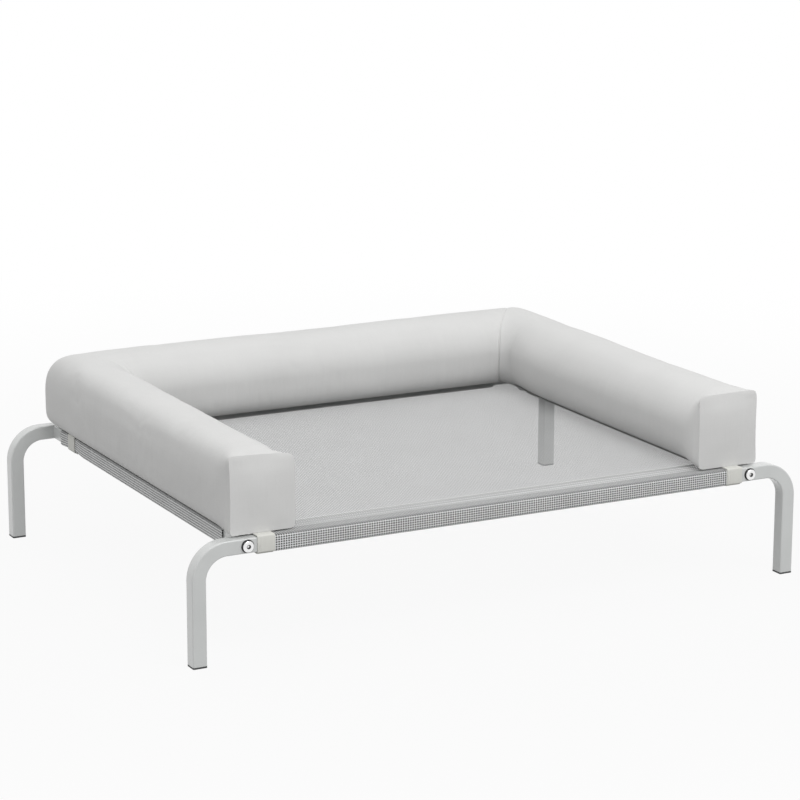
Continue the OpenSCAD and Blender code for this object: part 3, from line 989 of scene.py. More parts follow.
@dataclass
class HoldingStraps:
    """The four webbing straps that hold the bolster to the rails, each with its closing tape."""

    thick: float = 0.0012
    corner_radius: float = 0.0017
    corner_steps: int = 5
    width_steps: int = 6
    edge_round: float = 0.0003
    under_tape: float = 0.94

    def loop(self, low: Vector, high: Vector, across: int) -> list[Range]:
        """Trace the strap's middle line round the rail, from the middle of its underside.

        Args:
            low: Lowest corner of the strap.
            high: Highest corner of the strap.
            across: The axis across its rail, 0 for X and 1 for Y.

        Returns:
            Points as distance across the rail, and height.
        """
        half, r = self.thick / 2, self.corner_radius
        first, last = low[across] + half, high[across] - half
        bottom, top = low.z + half, high.z - half
        path = [((first + last) / 2, bottom)]
        corners = ((last - r, bottom + r), (last - r, top - r), (first + r, top - r), (first + r, bottom + r))
        for (cx, cz), begin in zip(corners, (-90, 0, 90, 180)):
            for i in range(self.corner_steps + 1):
                turn = math.radians(begin + 90 * i / self.corner_steps)
                path.append((cx + r * math.cos(turn), cz + r * math.sin(turn)))
        return path

    def strap_mesh(self, name: str, low: Vector, high: Vector, along: int) -> Mesh:
        """Sweep the loop across the strap's width.

        Args:
            name: The mesh's name.
            low: Lowest corner of the strap.
            high: Highest corner of the strap.
            along: The axis that its rail runs along, 0 for X and 1 for Y.

        Returns:
            The strap as a sheet, with cloth coordinates.
        """
        bm = bmesh.new()
        path = self.loop(low, high, 1 - along)
        start, width = low[along], high[along] - low[along]
        ring = [bm.verts.new((place, start, z) if along else (start, place, z)) for place, z in path]
        run = [0.0]
        for a, b in zip(path, [*path[1:], path[0]]):
            run.append(run[-1] + math.dist(a, b))
        number = {vert: i for i, vert in enumerate(ring)}
        rim = [bm.edges.new(pair) for pair in zip(ring, [*ring[1:], ring[0]])]
        step = Vector((0, 0, 0))
        step[along] = width / self.width_steps
        for _ in range(self.width_steps):
            fresh, rim = extrude_rim(bm, rim)
            for vert in fresh:
                others = (line.other_vert(vert) for line in vert.link_edges)
                number[vert] = number[next(other for other in others if other in number)]
            bmesh.ops.translate(bm, vec=step, verts=fresh)
        cloth = bm.loops.layers.uv.new("cloth")
        for face in bm.faces:
            wraps = {number[loop.vert] for loop in face.loops} == {0, len(path) - 1}
            for loop in face.loops:
                place = number[loop.vert]
                round_rail = run[-1] if wraps and place == 0 else run[place]
                loop[cloth].uv = (loop.vert.co[along] - start, round_rail)
        bmesh.ops.recalc_face_normals(bm, faces=bm.faces)
        return finish_mesh(name, bm)

    def tape_mesh(self, name: str, low: Vector, high: Vector) -> Mesh:
        """Shape the closing tape: two soft layers, one on the other.

        Args:
            name: The mesh's name.
            low: Lowest corner.
            high: Highest corner.

        Returns:
            The tape.
        """
        bm = bmesh.new()
        size, middle = high - low, (low + high) / 2
        for sign, shrink in ((1, 1.0), (-1, self.under_tape)):
            layer = Matrix.Translation(middle + Vector((0, 0, sign * size.z / 4)))
            spread = Matrix.Diagonal((size.x * shrink, size.y * shrink, size.z / 2, 1))
            bmesh.ops.create_cube(bm, size=1.0, matrix=layer @ spread)
        bmesh.ops.bevel(
            bm, geom=list(bm.edges), offset=self.edge_round, offset_type="OFFSET", affect="EDGES",
            segments=2, profile=0.5, material=-1,
        )
        return finish_mesh(name, bm)

    def build(self, wardrobe: Wardrobe) -> None:
        """Make the straps and tapes at all four corners.

        Args:
            wardrobe: The finishes.
        """
        for corner in Corner:
            along = 0 if corner in (Corner.FRONT_LEFT, Corner.FRONT_RIGHT) else 1
            name, node = f"webbing_{corner.value}", f"strap_{corner.value}"
            mesh = self.strap_mesh(name, *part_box(node), along)
            strap = add_piece(name, mesh, wardrobe["webbing"], Body.FRAME, [node])
            wall = strap.modifiers.new("webbing_thickness", "SOLIDIFY")
            wall.thickness, wall.offset = self.thick, 0.0
            soft = strap.modifiers.new("soft_edges", "BEVEL")
            soft.width, soft.segments, soft.limit_method = self.edge_round, 2, "ANGLE"
            name, node = f"tape_{corner.value}", f"closure_{corner.value}"
            mesh = self.tape_mesh(name, *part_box(node))
            add_piece(name, mesh, wardrobe["closure_tape"], Body.FRAME, [node])


@dataclass(frozen=True)
class RollSection:
    """Squareness of the roll's four quarters, 2 being round, and how high its outer side is widest."""

    inner_top: float
    outer_top: float
    outer_low: float
    inner_low: float
    belly: float = 0.5

    def toward(self, other: "RollSection", share: float) -> "RollSection":
        """Blend with a share of another section."""
        pairs = zip(astuple(self), astuple(other))
        return RollSection(*(1 / ((1 - share) / a + share / b) for a, b in pairs))

    def powers(self, turn: np.ndarray) -> np.ndarray:
        """Give the power at each angle round the section."""
        low = np.where(np.cos(turn) > 0, self.outer_low, self.inner_low)
        return np.where(np.sin(turn) > 0, np.where(np.cos(turn) > 0, self.outer_top, self.inner_top), low)


@dataclass(frozen=True)
class ArmShape:
    """What one arm, its end panel and its back corner have of their own."""

    section: RollSection
    corner_power: float
    corner_top: float
    seam_top: float
    panel_near: float
    panel_far: float
    panel_tilt: float
    panel_waist: float
    inner_swell: float = 0.0


@dataclass(frozen=True)
class Ring:
    """One ring of the roll: its outline and where it stands."""

    outline: np.ndarray
    origin: Vector
    heading: Vector
    run: float
    side: Side = Side.RIGHT
    behind: float = 1.0


@dataclass(frozen=True)
class EndMark:
    """Where a point of the cover lies at an arm's end."""

    side: Side
    behind: float
    inside: float
    across: float
    up: float


@dataclass(frozen=True)
class Hollow:
    """A shallow dip in the crown where the filling is thinner, or a rise where its depth is negative."""

    x: float
    y: float
    reach: float
    depth: float


@dataclass(frozen=True)
class Lump:
    """Unevenness of the filling at one size."""

    scale: float
    height: float
    shift: Triple


@dataclass(frozen=True)
class Furrow:
    """A bell-shaped furrow or ridge: how deep it is, how wide, and where its middle lies."""

    depth: float
    width: float
    middle: float = 0.0

    def at(self, distance: float) -> float:
        """Give its depth at a distance."""
        return self.depth * math.exp(-(((distance - self.middle) / self.width) ** 2))


@dataclass
class Bolster:
    """The stuffed U-shaped roll: two arms and a back in one sewn cover, with its filling inside."""

    pivot_x: float = 0.285
    pivot_y: float = 0.198
    fold_radius: float = 0.024
    arm_reach: float = 0.124
    back_reach: float = 0.142
    arm_end_y: float = -0.331
    base_z: float = 0.1677
    top_z: float = 0.2762
    hang: float = 0.0016
    hang_from: float = 0.8
    panel_drop: float = 0.0048
    drop_power: float = 1.3
    panel_lean: float = 0.0022
    panel_round: float = 0.0038
    round_from: float = 0.70
    round_corners: float = 0.6
    lean_fade: float = 0.030
    panel_crown: float = 0.0018
    panel_crowding: float = 0.6
    end_fade: float = 0.034
    square_fade: float = 0.055
    inner_fade: float = 0.030
    swell_fade: float = 0.100
    mark_reach: float = 0.05
    back: RollSection = RollSection(1.95, 3.1, 6.0, 3.4)
    end: RollSection = RollSection(14.0, 20.0, 22.0, 18.0)
    arms: dict[Side, ArmShape] = field(
        default_factory=lambda: {
            Side.LEFT: ArmShape(
                RollSection(1.95, 3.7, 6.0, 4.2, 0.38),
                corner_power=17.0, corner_top=2.6, seam_top=0.0,
                panel_near=0.0050, panel_far=0.0036, panel_tilt=0.0048, panel_waist=0.0004,
            ),
            Side.RIGHT: ArmShape(
                RollSection(1.95, 3.0, 9.0, 2.9),
                corner_power=11.0, corner_top=3.0, seam_top=0.5,
                panel_near=0.0004, panel_far=0.0046, panel_tilt=0.0008, panel_waist=0.0020,
                inner_swell=0.010,
            ),
        }
    )
    hollows: tuple[Hollow, ...] = (
        Hollow(0.345, -0.115, 0.050, 0.0016),
        Hollow(0.020, 0.285, 0.110, 0.0011),
        Hollow(0.330, 0.120, 0.030, 0.0012),
        Hollow(0.385, 0.055, 0.100, -0.0017),
    )
    lumps: tuple[Lump, ...] = (Lump(11.0, 0.0009, (0.0, 0.0, 0.0)), Lump(27.0, 0.0005, (3.1, 7.7, 1.3)))
    seam_grooves: tuple[Furrow, ...] = (Furrow(0.0024, 0.0011), Furrow(0.0006, 0.006))
    end_crease: Furrow = Furrow(0.0004, 0.0024, 0.0042)
    end_ridge: Furrow = Furrow(0.0003, 0.0016)
    seam_turn: float = 54.2
    seam_steps: tuple[float, ...] = (0.25, 0.65, 1.2, 2.0, 3.2)
    seam_clear: float = 4.2
    seam_hold: float = 0.006
    seam_top_fade: Range = (0.030, 0.020)
    under_free: Range = (0.004, 0.010)
    under_flat: float = 0.002
    fold_hold: Range = (0.014, 0.012)
    fold_depth: float = 0.03
    rim_depth: float = 0.007
    rim_hold: Range = (0.80, 0.1)
    around: int = 112
    fine_turns: int = 181
    step: float = 0.0034
    end_steps: tuple[float, ...] = (0.0, 0.001, 0.002, 0.0032, 0.0048, 0.007, 0.0098)
    even_from: float = 0.0128
    least_gap: float = 0.002
    corner_rings: int = 40
    bend_share: float = 0.55
    core_inset: float = 0.009
    core_coarse: float = 4
    voxel: float = 0.0055
    pressure: float = 4.0
    frames: int = 20
    least_rise: float = 0.0005
    most_swell: float = 0.006
    crease_share: float = 0.28
    carry_from: int = 5
    carry_blur: float = 0.0015

    CLOTH_RULES: ClassVar[dict[str, object]] = {
        "quality": 5,
        "mass": 0.25,
        "tension_stiffness": 20,
        "compression_stiffness": 20,
        "shear_stiffness": 10,
        "bending_stiffness": 2.5,
        "use_pressure": True,
        "shrink_min": -0.004,
        "vertex_group_mass": "sewn",
    }

    def ring_outline(self, near: float, far: float, high: float, section: RollSection) -> np.ndarray:
        """Trace one ring of the roll, evenly spaced along each quarter.

        Args:
            near: Distance of its inner side from the pivot line.
            far: Distance of its outer side.
            high: Height of its crown.
            section: Its squareness.

        Returns:
            Distances and heights, from the lower inner corner by the underside.
        """
        quarter = self.around // 4
        points = []
        for begin in (-135, -45, 45, 135):
            turn = np.radians(begin + np.linspace(0, 90, self.fine_turns))
            power = section.powers(turn)
            u = (1 + np.sign(np.cos(turn)) * np.abs(np.cos(turn)) ** (2 / power)) / 2
            wide = np.where(np.cos(turn) > 0, section.belly, 0.5)
            rise = np.abs(np.sin(turn)) ** (2 / power)
            v = np.where(np.sin(turn) > 0, wide + (1 - wide) * rise, wide - wide * rise)
            sunk = self.hang * np.clip((u - self.hang_from) / (1 - self.hang_from), 0, 1) ** 2 * (1 - v)
            height = self.base_z + (high - self.base_z) * v - sunk
            line = np.stack([near + (far - near) * u, height], 1)
            run = np.concatenate([[0], np.cumsum(np.linalg.norm(np.diff(line, axis=0), axis=1))])
            at = np.linspace(0, run[-1], quarter + 1)[:-1]
            points.append(np.stack([np.interp(at, run, line[:, k]) for k in (0, 1)], 1))
        return np.concatenate(points)

    def arm_ring(self, side: Side, distance: float, inset: float) -> np.ndarray:
        """Trace a ring of an arm at a distance behind its end panel.

        Args:
            side: Which arm.
            distance: Distance behind the panel.
            inset: How far the ring is drawn in.

        Returns:
            Distances and heights.
        """
        shape = self.arms[side]
        fade = min(distance / self.end_fade, 1.0)
        drawn = 1 - math.sqrt(fade * (2 - fade))
        share, inner_share = (min(distance / reach, 1.0) for reach in (self.square_fade, self.inner_fade))
        ease, inner_ease = share * (2 - share), inner_share * (2 - inner_share)
        section = self.end.toward(shape.section, ease)
        section = replace(section, inner_top=self.end.toward(shape.section, inner_ease).inner_top)
        to_back = self.pivot_y - self.arm_end_y - distance
        clear = min(distance / self.inner_fade, to_back / self.swell_fade, 1.0)
        swell = shape.inner_swell * max(0.0, clear) * (2 - clear)
        near = self.fold_radius + shape.panel_near * drawn - swell + inset
        far = self.arm_reach - shape.panel_far * drawn - inset
        high = self.top_z - self.panel_drop * (1 - fade) ** self.drop_power - inset
        ring = self.ring_outline(near, far, high, section)
        out, up = (ring[:, 0] - near) / (far - near), (ring[:, 1] - self.base_z) / (high - self.base_z)
        ring[:, 1] -= shape.panel_tilt * (1 - ease) * (1 - out) * up
        ring[:, 0] -= shape.panel_waist * (1 - ease) * out * np.sin(np.pi * up)
        return self.lifted(ring, inset)

    def lifted(self, ring: np.ndarray, inset: float) -> np.ndarray:
        """Draw a ring's underside up by the inset.

        Args:
            ring: The ring, changed in place.
            inset: How far.

        Returns:
            The ring.
        """
        high = ring[:, 1].max()
        ring[:, 1] = high - (high - ring[:, 1]) * (high - self.base_z - inset) / (high - self.base_z)
        return ring

    def corner_ring(self, side: Side, turn: float, inset: float) -> np.ndarray:
        """Trace a ring of a back corner.

        Args:
            side: Which corner.
            turn: Angle from the arm's side to the back, in radians.
            inset: How far the ring is drawn in.

        Returns:
            Distances and heights.
        """
        shape = self.arms[side]
        across = (abs(math.cos(turn)) / self.arm_reach) ** shape.corner_power
        along = (abs(math.sin(turn)) / self.back_reach) ** shape.corner_power
        reach = (across + along) ** (-1 / shape.corner_power)
        section = shape.section.toward(self.back, math.sin(turn) ** 2)
        rounder = replace(section, outer_top=shape.corner_top)
        section = section.toward(rounder, math.sin(2 * turn) ** 2)
        ring = self.ring_outline(self.fold_radius + inset, reach - inset, self.top_z - inset, section)
        return self.lifted(ring, inset)

    def corner_turns(self, coarse: float) -> list[float]:
        """List a corner's ring angles, crowded at its seam.

        Args:
            coarse: Factor on the distance between rings.

        Returns:
            Angles in radians from 0 to a quarter turn.
        """
        count = round(self.corner_rings / coarse)
        turns = [90 * i / count for i in range(count + 1)]
        if coarse == 1:
            close = [self.seam_turn + sign * step for step in self.seam_steps for sign in (-1, 1)]
            clear = [turn for turn in turns if abs(turn - self.seam_turn) > self.seam_clear]
            turns = sorted([*clear, *close, self.seam_turn])
        return [math.radians(turn) for turn in turns]

    def stations(self, inset: float, coarse: float) -> list[Ring]:
        """Lay rings along the whole roll, from the right arm's end to the left arm's end.

        Args:
            inset: How far the rings are drawn in.
            coarse: Factor on the distance between rings.

        Returns:
            The rings in order.
        """
        length = self.pivot_y - self.arm_end_y
        sweep = (self.arm_reach + self.back_reach) / 2 * self.bend_share
        bend = sweep * math.pi / 2
        count = round((length - self.even_from) / (self.step * coarse))
        along = [d for d in self.end_steps if d >= inset] if coarse == 1 else [inset]
        start = max(self.even_from, inset + self.least_gap)
        along += list(np.linspace(start, length, count, endpoint=False))
        halves: dict[Side, list[Ring]] = {}
        for side in Side:
            sign = side.value
            half = []
            for d in along:
                origin = Vector((sign * self.pivot_x, self.arm_end_y + d, 0))
                half.append(Ring(self.arm_ring(side, d, inset), origin, Vector((sign, 0, 0)), d, side, d))
            for turn in self.corner_turns(coarse):
                heading = Vector((sign * math.cos(turn), math.sin(turn), 0))
                origin = Vector((sign * self.pivot_x, self.pivot_y, 0))
                outline = self.corner_ring(side, turn, inset)
                half.append(Ring(outline, origin, heading, length + sweep * turn, side))
            halves[side] = half
        rings = halves[Side.RIGHT]
        plain = rings[-1].outline
        count = round(2 * self.pivot_x / (self.step * coarse))
        for x in np.linspace(self.pivot_x, -self.pivot_x, count + 1)[1:-1]:
            run = length + bend + self.pivot_x - x
            rings.append(Ring(plain, Vector((x, self.pivot_y, 0)), Vector((0, 1, 0)), run))
        whole = 2 * (length + bend + self.pivot_x)
        return rings + [replace(ring, run=whole - ring.run) for ring in reversed(halves[Side.LEFT])]

    def skin(self, rings: Sequence[Ring]) -> tuple[Mesh, dict[int, EndMark]]:
        """Join rings into one closed skin with cloth coordinates and a flat grid at each end.

        Args:
            rings: The rings in order.

        Returns:
            The closed mesh, and marks of its points near the end panels by index.
        """
        bm = bmesh.new()
        cloth = bm.loops.layers.uv.new("cloth")
        grid, marks = [], {}
        for ring in rings:
            low, high = ring.outline.min(axis=0), ring.outline.max(axis=0)
            crest = ring.outline[self.around // 2 : 3 * self.around // 4 + 1][::-1]
            row = []
            for r, z in ring.outline:
                if ring.behind < self.mark_reach:
                    across = float(2 * (r - low[0]) / (high[0] - low[0]) - 1)
                    up = float(2 * (z - low[1]) / (np.interp(r, *crest.T) - low[1]) - 1)
                    marks[len(bm.verts)] = EndMark(ring.side, ring.behind, 0.0, across, up)
                x, y = ring.origin.x + ring.heading.x * r, ring.origin.y + ring.heading.y * r
                row.append(bm.verts.new((x, y, z)))
            grid.append(row)
        outline = rings[len(rings) // 2].outline
        gaps = np.linalg.norm(np.roll(outline, -1, axis=0) - outline, axis=1)
        girth = np.concatenate([[0], np.cumsum(gaps)])
        for i in range(len(grid) - 1):
            near, far = rings[i].run, rings[i + 1].run
            for k in range(self.around):
                m = (k + 1) % self.around
                face = bm.faces.new((grid[i][k], grid[i][m], grid[i + 1][m], grid[i + 1][k]))
                for loop, at in zip(face.loops, ((near, k), (near, k + 1), (far, k + 1), (far, k))):
                    loop[cloth].uv = (at[0], girth[at[1]])
        for number in (0, -1):
            self.end_panel(bm, grid[number], cloth, rings[number].side, marks)
        for ring in (grid[0], grid[-1]):
            for pair in zip(ring, [*ring[1:], ring[0]]):
                bm.edges.get(pair).smooth = False
        bmesh.ops.recalc_face_normals(bm, faces=bm.faces)
        return finish_mesh("bolster", bm), marks

    def end_panel(
        self, bm: BMesh, ring: list[BMVert], cloth: BMLayerItem, side: Side, marks: dict[int, EndMark]
    ) -> None:
        """Fill an arm's end with a grid that follows its rim.

        Args:
            bm: The skin so far.
            ring: The rim's vertices.
            cloth: The cloth coordinate layer.
            side: Which arm.
            marks: Marks by index, added to here.
        """
        wide, tall = self.arm_reach - self.fold_radius, self.top_z - self.base_z
        n = self.around // 4
        rows: list[list[BMVert | None]] = [[None] * (n + 1) for _ in range(n + 1)]
        for i in range(n + 1):
            rows[0][i] = ring[i]
            rows[i][n] = ring[n + i]
            rows[n][n - i] = ring[2 * n + i]
            rows[n - i][0] = ring[(3 * n + i) % self.around]
        for j in range(1, n):
            for i in range(1, n):
                s, t = self.graded(i / n), self.graded(j / n)
                sides = rows[j][0].co * (1 - s) + rows[j][n].co * s
                sides = sides + rows[0][i].co * (1 - t) + rows[n][i].co * t
                ends = (
                    rows[0][0].co * (1 - s) * (1 - t) + rows[0][n].co * s * (1 - t)
                    + rows[n][0].co * (1 - s) * t + rows[n][n].co * s * t
                )
                inside = min(min(s, 1 - s) * wide, min(t, 1 - t) * tall)
                marks[len(bm.verts)] = EndMark(side, 0.0, inside, 2 * s - 1, 2 * t - 1)
                rows[j][i] = bm.verts.new(sides - ends)
        for j in range(n):
            for i in range(n):
                face = bm.faces.new((rows[j][i], rows[j + 1][i], rows[j + 1][i + 1], rows[j][i + 1]))
                for loop in face.loops:
                    loop[cloth].uv = (loop.vert.co.x, loop.vert.co.z)

    def graded(self, share: float) -> float:
        """Crowd a share from 0 to 1 towards its ends."""
        return share - self.panel_crowding * math.sin(2 * math.pi * share) / (2 * math.pi)

    def seam_distance(self, point: Vector) -> float:
        """Measure how far a point lies from the nearest corner seam.

        Args:
            point: The point.

        Returns:
            Distance, or 1 away from the corners.
        """
        side = 1 if point.x > 0 else -1
        turn = math.radians(self.seam_turn)
        heading = Vector((side * math.cos(turn), math.sin(turn), 0))
        off = Vector((point.x - side * self.pivot_x, point.y - self.pivot_y, 0))
        return abs(off.cross(heading).z) if off.dot(heading) > 0 else 1.0

    def held(self, point: Vector) -> float:
        """Say how firmly sewing or weight holds a point of the cover.

        Args:
            point: The point.

        Returns:
            1 where it can't move, down to 0 where it is free.
        """
        side = 1 if point.x > 0 else -1
        off_x, off_y = side * point.x - self.pivot_x, point.y - self.pivot_y
        seam = 1 - min(1.0, self.seam_distance(point) / self.seam_hold)
        flat, soft = self.under_free
        under = 1 - min(1.0, max(0.0, point.z - self.base_z - flat) / soft)
        fold = rim = 0.0
        if off_y > -self.fold_depth:
            firm, soft = self.fold_hold
            fold = 1 - min(1.0, max(0.0, math.hypot(off_x, max(0.0, off_y)) - firm) / soft)
        if point.y < self.arm_end_y + self.rim_depth:
            free, soft = self.rim_hold
            u = abs(2 * (off_x - self.fold_radius) / (self.arm_reach - self.fold_radius) - 1)
            v = abs(2 * (point.z - self.base_z) / (self.top_z - self.panel_drop - self.base_z) - 1)
            rim = min(1.0, max(0.0, max(u, v) - free) / soft)
        return max(seam, under, fold, rim)

    def swell(self, mesh: Mesh) -> tuple[np.ndarray, np.ndarray]:
        """Blow the cover up with the cloth solver, held at its seams and underside.

        Args:
            mesh: The cover before filling.

        Returns:
            Points of the solved cloth before filling, and how far each one moved.
        """
        scene = bpy.context.scene
        source = put("cover_before_filling", mesh.copy())
        coarse = source.modifiers.new("even_cloth", "REMESH")
        coarse.mode, coarse.voxel_size = "VOXEL", self.voxel
        graph = bpy.context.evaluated_depsgraph_get()
        even = bpy.data.meshes.new_from_object(source.evaluated_get(graph))
        trial = put("cover_trial", even)
        before = np.array([vert.co for vert in even.vertices])
        group = trial.vertex_groups.new(name="sewn")
        for vert in even.vertices:
            group.add([vert.index], self.held(vert.co), "REPLACE")
        cloth = trial.modifiers.new("cloth", "CLOTH")
        for name, value in self.CLOTH_RULES.items():
            setattr(cloth.settings, name, value)
        cloth.settings.uniform_pressure_force = self.pressure
        cloth.settings.effector_weights.gravity = 0
        cloth.point_cache.frame_start, cloth.point_cache.frame_end = 1, self.frames
        for number in range(1, self.frames + 1):
            scene.frame_set(number)
        solved = trial.evaluated_get(bpy.context.evaluated_depsgraph_get()).to_mesh()
        moved = np.array([vert.co for vert in solved.vertices]) - before
        scene.frame_set(1)
        for item in (trial, source):
            old = item.data
            bpy.data.objects.remove(item)
            bpy.data.meshes.remove(old)
        far = np.linalg.norm(moved, axis=1)
        LOG.info("cover swelled: middle %.2f mm, most %.2f mm", np.median(far) * 1000, far.max() * 1000)
        return before, moved * np.minimum(1.0, self.most_swell / np.maximum(far, 1e-9))[:, None]

    def carry(self, points: np.ndarray, before: np.ndarray, moved: np.ndarray) -> np.ndarray:
        """Carry the solved movement over to the fine cover.

        Args:
            points: Points of the fine cover.
            before: Points of the solved cloth before filling.
            moved: How far each of those moved.

        Returns:
            How far each fine point moves.
        """
        tree = kdtree.KDTree(len(before))
        for i, point in enumerate(before):
            tree.insert(point, i)
        tree.balance()
        result = np.zeros_like(points)
        for i, point in enumerate(points):
            found = tree.find_n(point, self.carry_from)
            weights = np.array([1 / (near[2] + self.carry_blur) ** 2 for near in found])
            result[i] = weights @ moved[[near[1] for near in found]] / weights.sum()
        return result

    def settle(self, mesh: Mesh, marks: dict[int, EndMark]) -> None:
        """Fill the cover: swell it, make the filling uneven, and draw in the seams.

        Args:
            mesh: The cover, changed in place.
            marks: Marks of its points near the end panels.
        """
        points = np.array([vert.co for vert in mesh.vertices])
        shift = np.zeros_like(points)
        shift += self.carry(points, *self.swell(mesh))
        normals = np.array([vert.normal for vert in mesh.vertices])
        rise = (shift * normals).sum(axis=1)
        risen = rise[rise > self.least_rise]
        if len(risen):
            usual = np.median(risen)
            even = usual * np.clip(rise / usual, -1, 1)
            shift = (shift - normals * even[:, None]) * self.crease_share
        for i, point in enumerate(points):
            place = Vector(point)
            if place.z > self.base_z + self.under_flat:
                shift[i] += normals[i] * (self.lumpiness(place) * (1 - self.held(place)) - self.groove(place))
            if i in marks:
                shift[i] += self.end_seam(marks[i], Vector(normals[i]))
        up = (points[:, 2] - self.base_z) / (self.top_z - self.base_z)
        for hollow in self.hollows:
            away = ((points[:, 0] - hollow.x) ** 2 + (points[:, 1] - hollow.y) ** 2) / hollow.reach**2
            shift[:, 2] -= hollow.depth * np.exp(-away) * up
        mesh.vertices.foreach_set("co", (points + shift).astype(np.float32).ravel())
        mesh.update()

    def lumpiness(self, place: Vector) -> float:
        """Give how far the filling stands out at a point."""
        return sum(noise.noise(place * lump.scale + Vector(lump.shift)) * lump.height for lump in self.lumps)

    def groove(self, place: Vector) -> float:
        """Give how deep a corner seam is drawn in at a point, less so on the crown.

        Args:
            place: The point.

        Returns:
            The depth.
        """
        gap = self.seam_distance(place)
        kept = self.arms[Side.RIGHT if place.x > 0 else Side.LEFT].seam_top
        below, fade = self.seam_top_fade
        crown = min(1.0, max(0.0, place.z - self.top_z + below) / fade)
        return sum(furrow.at(gap) for furrow in self.seam_grooves) * (1 - (1 - kept) * crown)

    def end_seam(self, mark: EndMark, normal: Vector) -> Vector:
        """Shape an arm's end: a drawn seam round the panel, its crowned middle and its rounded top.

        Args:
            mark: Where the point lies.
            normal: The outward direction there.

        Returns:
            How far the point moves.
        """
        if mark.behind < self.end_steps[1] / 2:
            crown = self.panel_crown * max(0.0, 1 - mark.across**4) * max(0.0, 1 - mark.up**4)
            move = Vector((0, -crown, 0))
        else:
            move = -normal * self.end_crease.at(mark.behind)
        ridge = self.end_ridge.at(mark.behind + mark.inside)
        curl = (max(0.0, mark.up - self.round_from) / (1 - self.round_from)) ** 2
        curl *= 1 - self.round_corners * mark.across**4
        lean = self.panel_lean * max(0.0, mark.up) ** 2 + self.panel_round * curl
        lean *= max(0.0, 1 - mark.behind / self.lean_fade) ** 2
        return move + Vector((mark.side.value * mark.across, 0, mark.up)) * ridge + Vector((0, lean, 0))

    def build(self, wardrobe: Wardrobe) -> None:
        """Make the cover and its filling.

        Args:
            wardrobe: The finishes.
        """
        mesh, marks = self.skin(self.stations(0.0, 1))
        self.settle(mesh, marks)
        core, _ = self.skin(self.stations(self.core_inset, self.core_coarse))
        core.name = "bolster_filling"
        parts = ("left_arm", "back", "right_arm")
        covers, fills = ([f"{kind}_{part}" for part in parts] for kind in ("cover", "fill"))
        finish = wardrobe["bolster_cover"]
        cover = add_piece("bolster_cover", mesh, finish, Body.BOLSTER, covers)
        finish = wardrobe["bolster_fill"]
        filling = add_piece("bolster_filling", core, finish, Body.BOLSTER, fills)


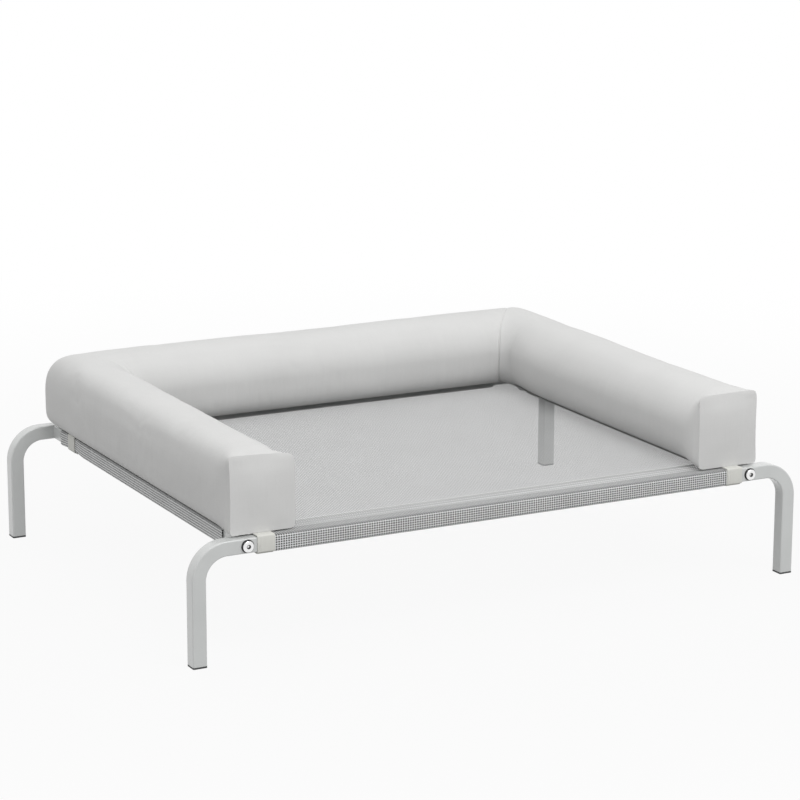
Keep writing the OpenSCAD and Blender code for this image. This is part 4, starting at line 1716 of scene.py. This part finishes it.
@dataclass
class Studio:
    """Pale floor, soft light and the camera."""

    focal: float = 128.05
    sensor: float = 36.0
    view_end: float = 200.0
    eye: Triple = (-1.8357, -3.5314, 1.2031)
    azimuth: float = -27.622
    elevation: float = 13.734
    roll: float = 0.171
    sky: float = 0.74
    key_watts: float = 60.0
    key_from: Triple = (0.08, -0.62, 0.78)
    fill_watts: float = 13.0
    fill_from: Triple = (-0.25, 0.22, 0.94)
    lamp_away: float = 4.0
    lamp_size: float = 2.6
    lamp_middle: Triple = (0.0, 0.0, 0.2)
    floor_half: float = 40.0
    floor_grey: Colour = (0.40, 0.40, 0.40, 1.0)
    floor_glow: float = 0.93
    glow_reach: Range = (0.5, 2.2)

    def camera(self) -> None:
        """Set the camera where the photograph was taken from."""
        az, el, tilt = (math.radians(value) for value in (self.azimuth, self.elevation, self.roll))
        back = Vector((math.sin(az) * math.cos(el), -math.cos(az) * math.cos(el), math.sin(el)))
        level = Vector((math.cos(az), math.sin(az), 0.0))
        upright = back.cross(level)
        right = level * math.cos(tilt) + upright * math.sin(tilt)
        up = upright * math.cos(tilt) - level * math.sin(tilt)
        lens = bpy.data.cameras.new("camera")
        lens.lens, lens.sensor_width, lens.clip_end = self.focal, self.sensor, self.view_end
        eye = put("camera", lens)
        eye.matrix_world = Matrix.Translation(self.eye) @ Matrix((right, up, back)).transposed().to_4x4()
        bpy.context.scene.camera = eye

    @staticmethod
    def seen(bench: NodeBench, *rays: str) -> NodeSocket:
        """Mark the rays of some kinds.

        Args:
            bench: The material's or the world's bench.
            *rays: Names of the Light Path outputs.

        Returns:
            1 for those rays and 0 for others.
        """
        path = bench.place("ShaderNodeLightPath")
        first, *others = (path.outputs[ray] for ray in rays)
        for other in others:
            first = bench.math("MAXIMUM", first, other)
        return first

    def floor(self) -> None:
        """Lay the white floor, which keeps a pale shadow."""
        bm = bmesh.new()
        bmesh.ops.create_grid(bm, x_segments=1, y_segments=1, size=self.floor_half)
        ground = put("floor", finish_mesh("floor", bm, smooth=False))
        material = bpy.data.materials.new("floor_white")
        material.use_nodes = True
        nodes = material.node_tree.nodes
        nodes.remove(nodes["Principled BSDF"])
        bench = NodeBench(material.node_tree)
        points = bench.place("ShaderNodeTexCoord").outputs["Object"]
        away = bench.place("ShaderNodeVectorMath", {0: points}, operation="LENGTH").outputs["Value"]
        share = bench.ramp(away, self.glow_reach, (self.floor_glow, 1.0))
        share = bench.math("MULTIPLY", self.seen(bench, "Is Camera Ray", "Is Glossy Ray"), share)
        matt = bench.place("ShaderNodeBsdfDiffuse", {"Color": self.floor_grey}).outputs[0]
        glow = bench.place("ShaderNodeEmission").outputs[0]
        blend = bench.place("ShaderNodeMixShader", {0: share, 1: matt, 2: glow})
        bench.feed(nodes["Material Output"].inputs["Surface"], blend.outputs[0])
        ground.data.materials.append(material)

    def sky_light(self) -> None:
        """Surround the cot with soft even light, white to the eye."""
        world = bpy.data.worlds.new("studio")
        world.use_nodes = True
        nodes = world.node_tree.nodes
        bench = NodeBench(world.node_tree)
        lamp = nodes["Background"]
        lamp.inputs["Color"].default_value = WHITE
        lamp.inputs["Strength"].default_value = self.sky
        wall = bench.place("ShaderNodeBackground", {"Color": WHITE, "Strength": 1.0}).outputs[0]
        seen = self.seen(bench, "Is Camera Ray", "Is Glossy Ray", "Is Transmission Ray")
        blend = bench.place("ShaderNodeMixShader", {0: seen, 1: lamp.outputs[0], 2: wall})
        bench.feed(nodes["World Output"].inputs["Surface"], blend.outputs[0])
        bpy.context.scene.world = world

    def lamp(self, name: str, watts: float, direction: Triple) -> None:
        """Hang a large soft lamp.

        Args:
            name: The lamp's name.
            watts: Its power.
            direction: Where it hangs, seen from the cot.
        """
        light = bpy.data.lights.new(name, "AREA")
        light.energy, light.shape, light.size = watts, "DISK", self.lamp_size
        holder = put(name, light)
        away = Vector(direction).normalized()
        holder.location = away * self.lamp_away + Vector(self.lamp_middle)
        holder.rotation_mode = "QUATERNION"
        holder.rotation_quaternion = away.to_track_quat("Z", "Y")

    def build(self) -> None:
        """Set up the whole studio."""
        bpy.context.scene.view_settings.view_transform = "Standard"
        self.camera()
        self.floor()
        self.sky_light()
        self.lamp("key", self.key_watts, self.key_from)
        self.lamp("fill", self.fill_watts, self.fill_from)


def main() -> None:
    """Build the cot piece by piece and report each one."""
    logging.basicConfig(level=logging.INFO, format="%(name)s: %(message)s")
    Studio().build()
    wardrobe = Wardrobe()
    TubeFrame().dress(wardrobe)
    Sling().build(wardrobe)
    HoldingStraps().build(wardrobe)
    Bolster().build(wardrobe)


if __name__ == "__main__":
    main()
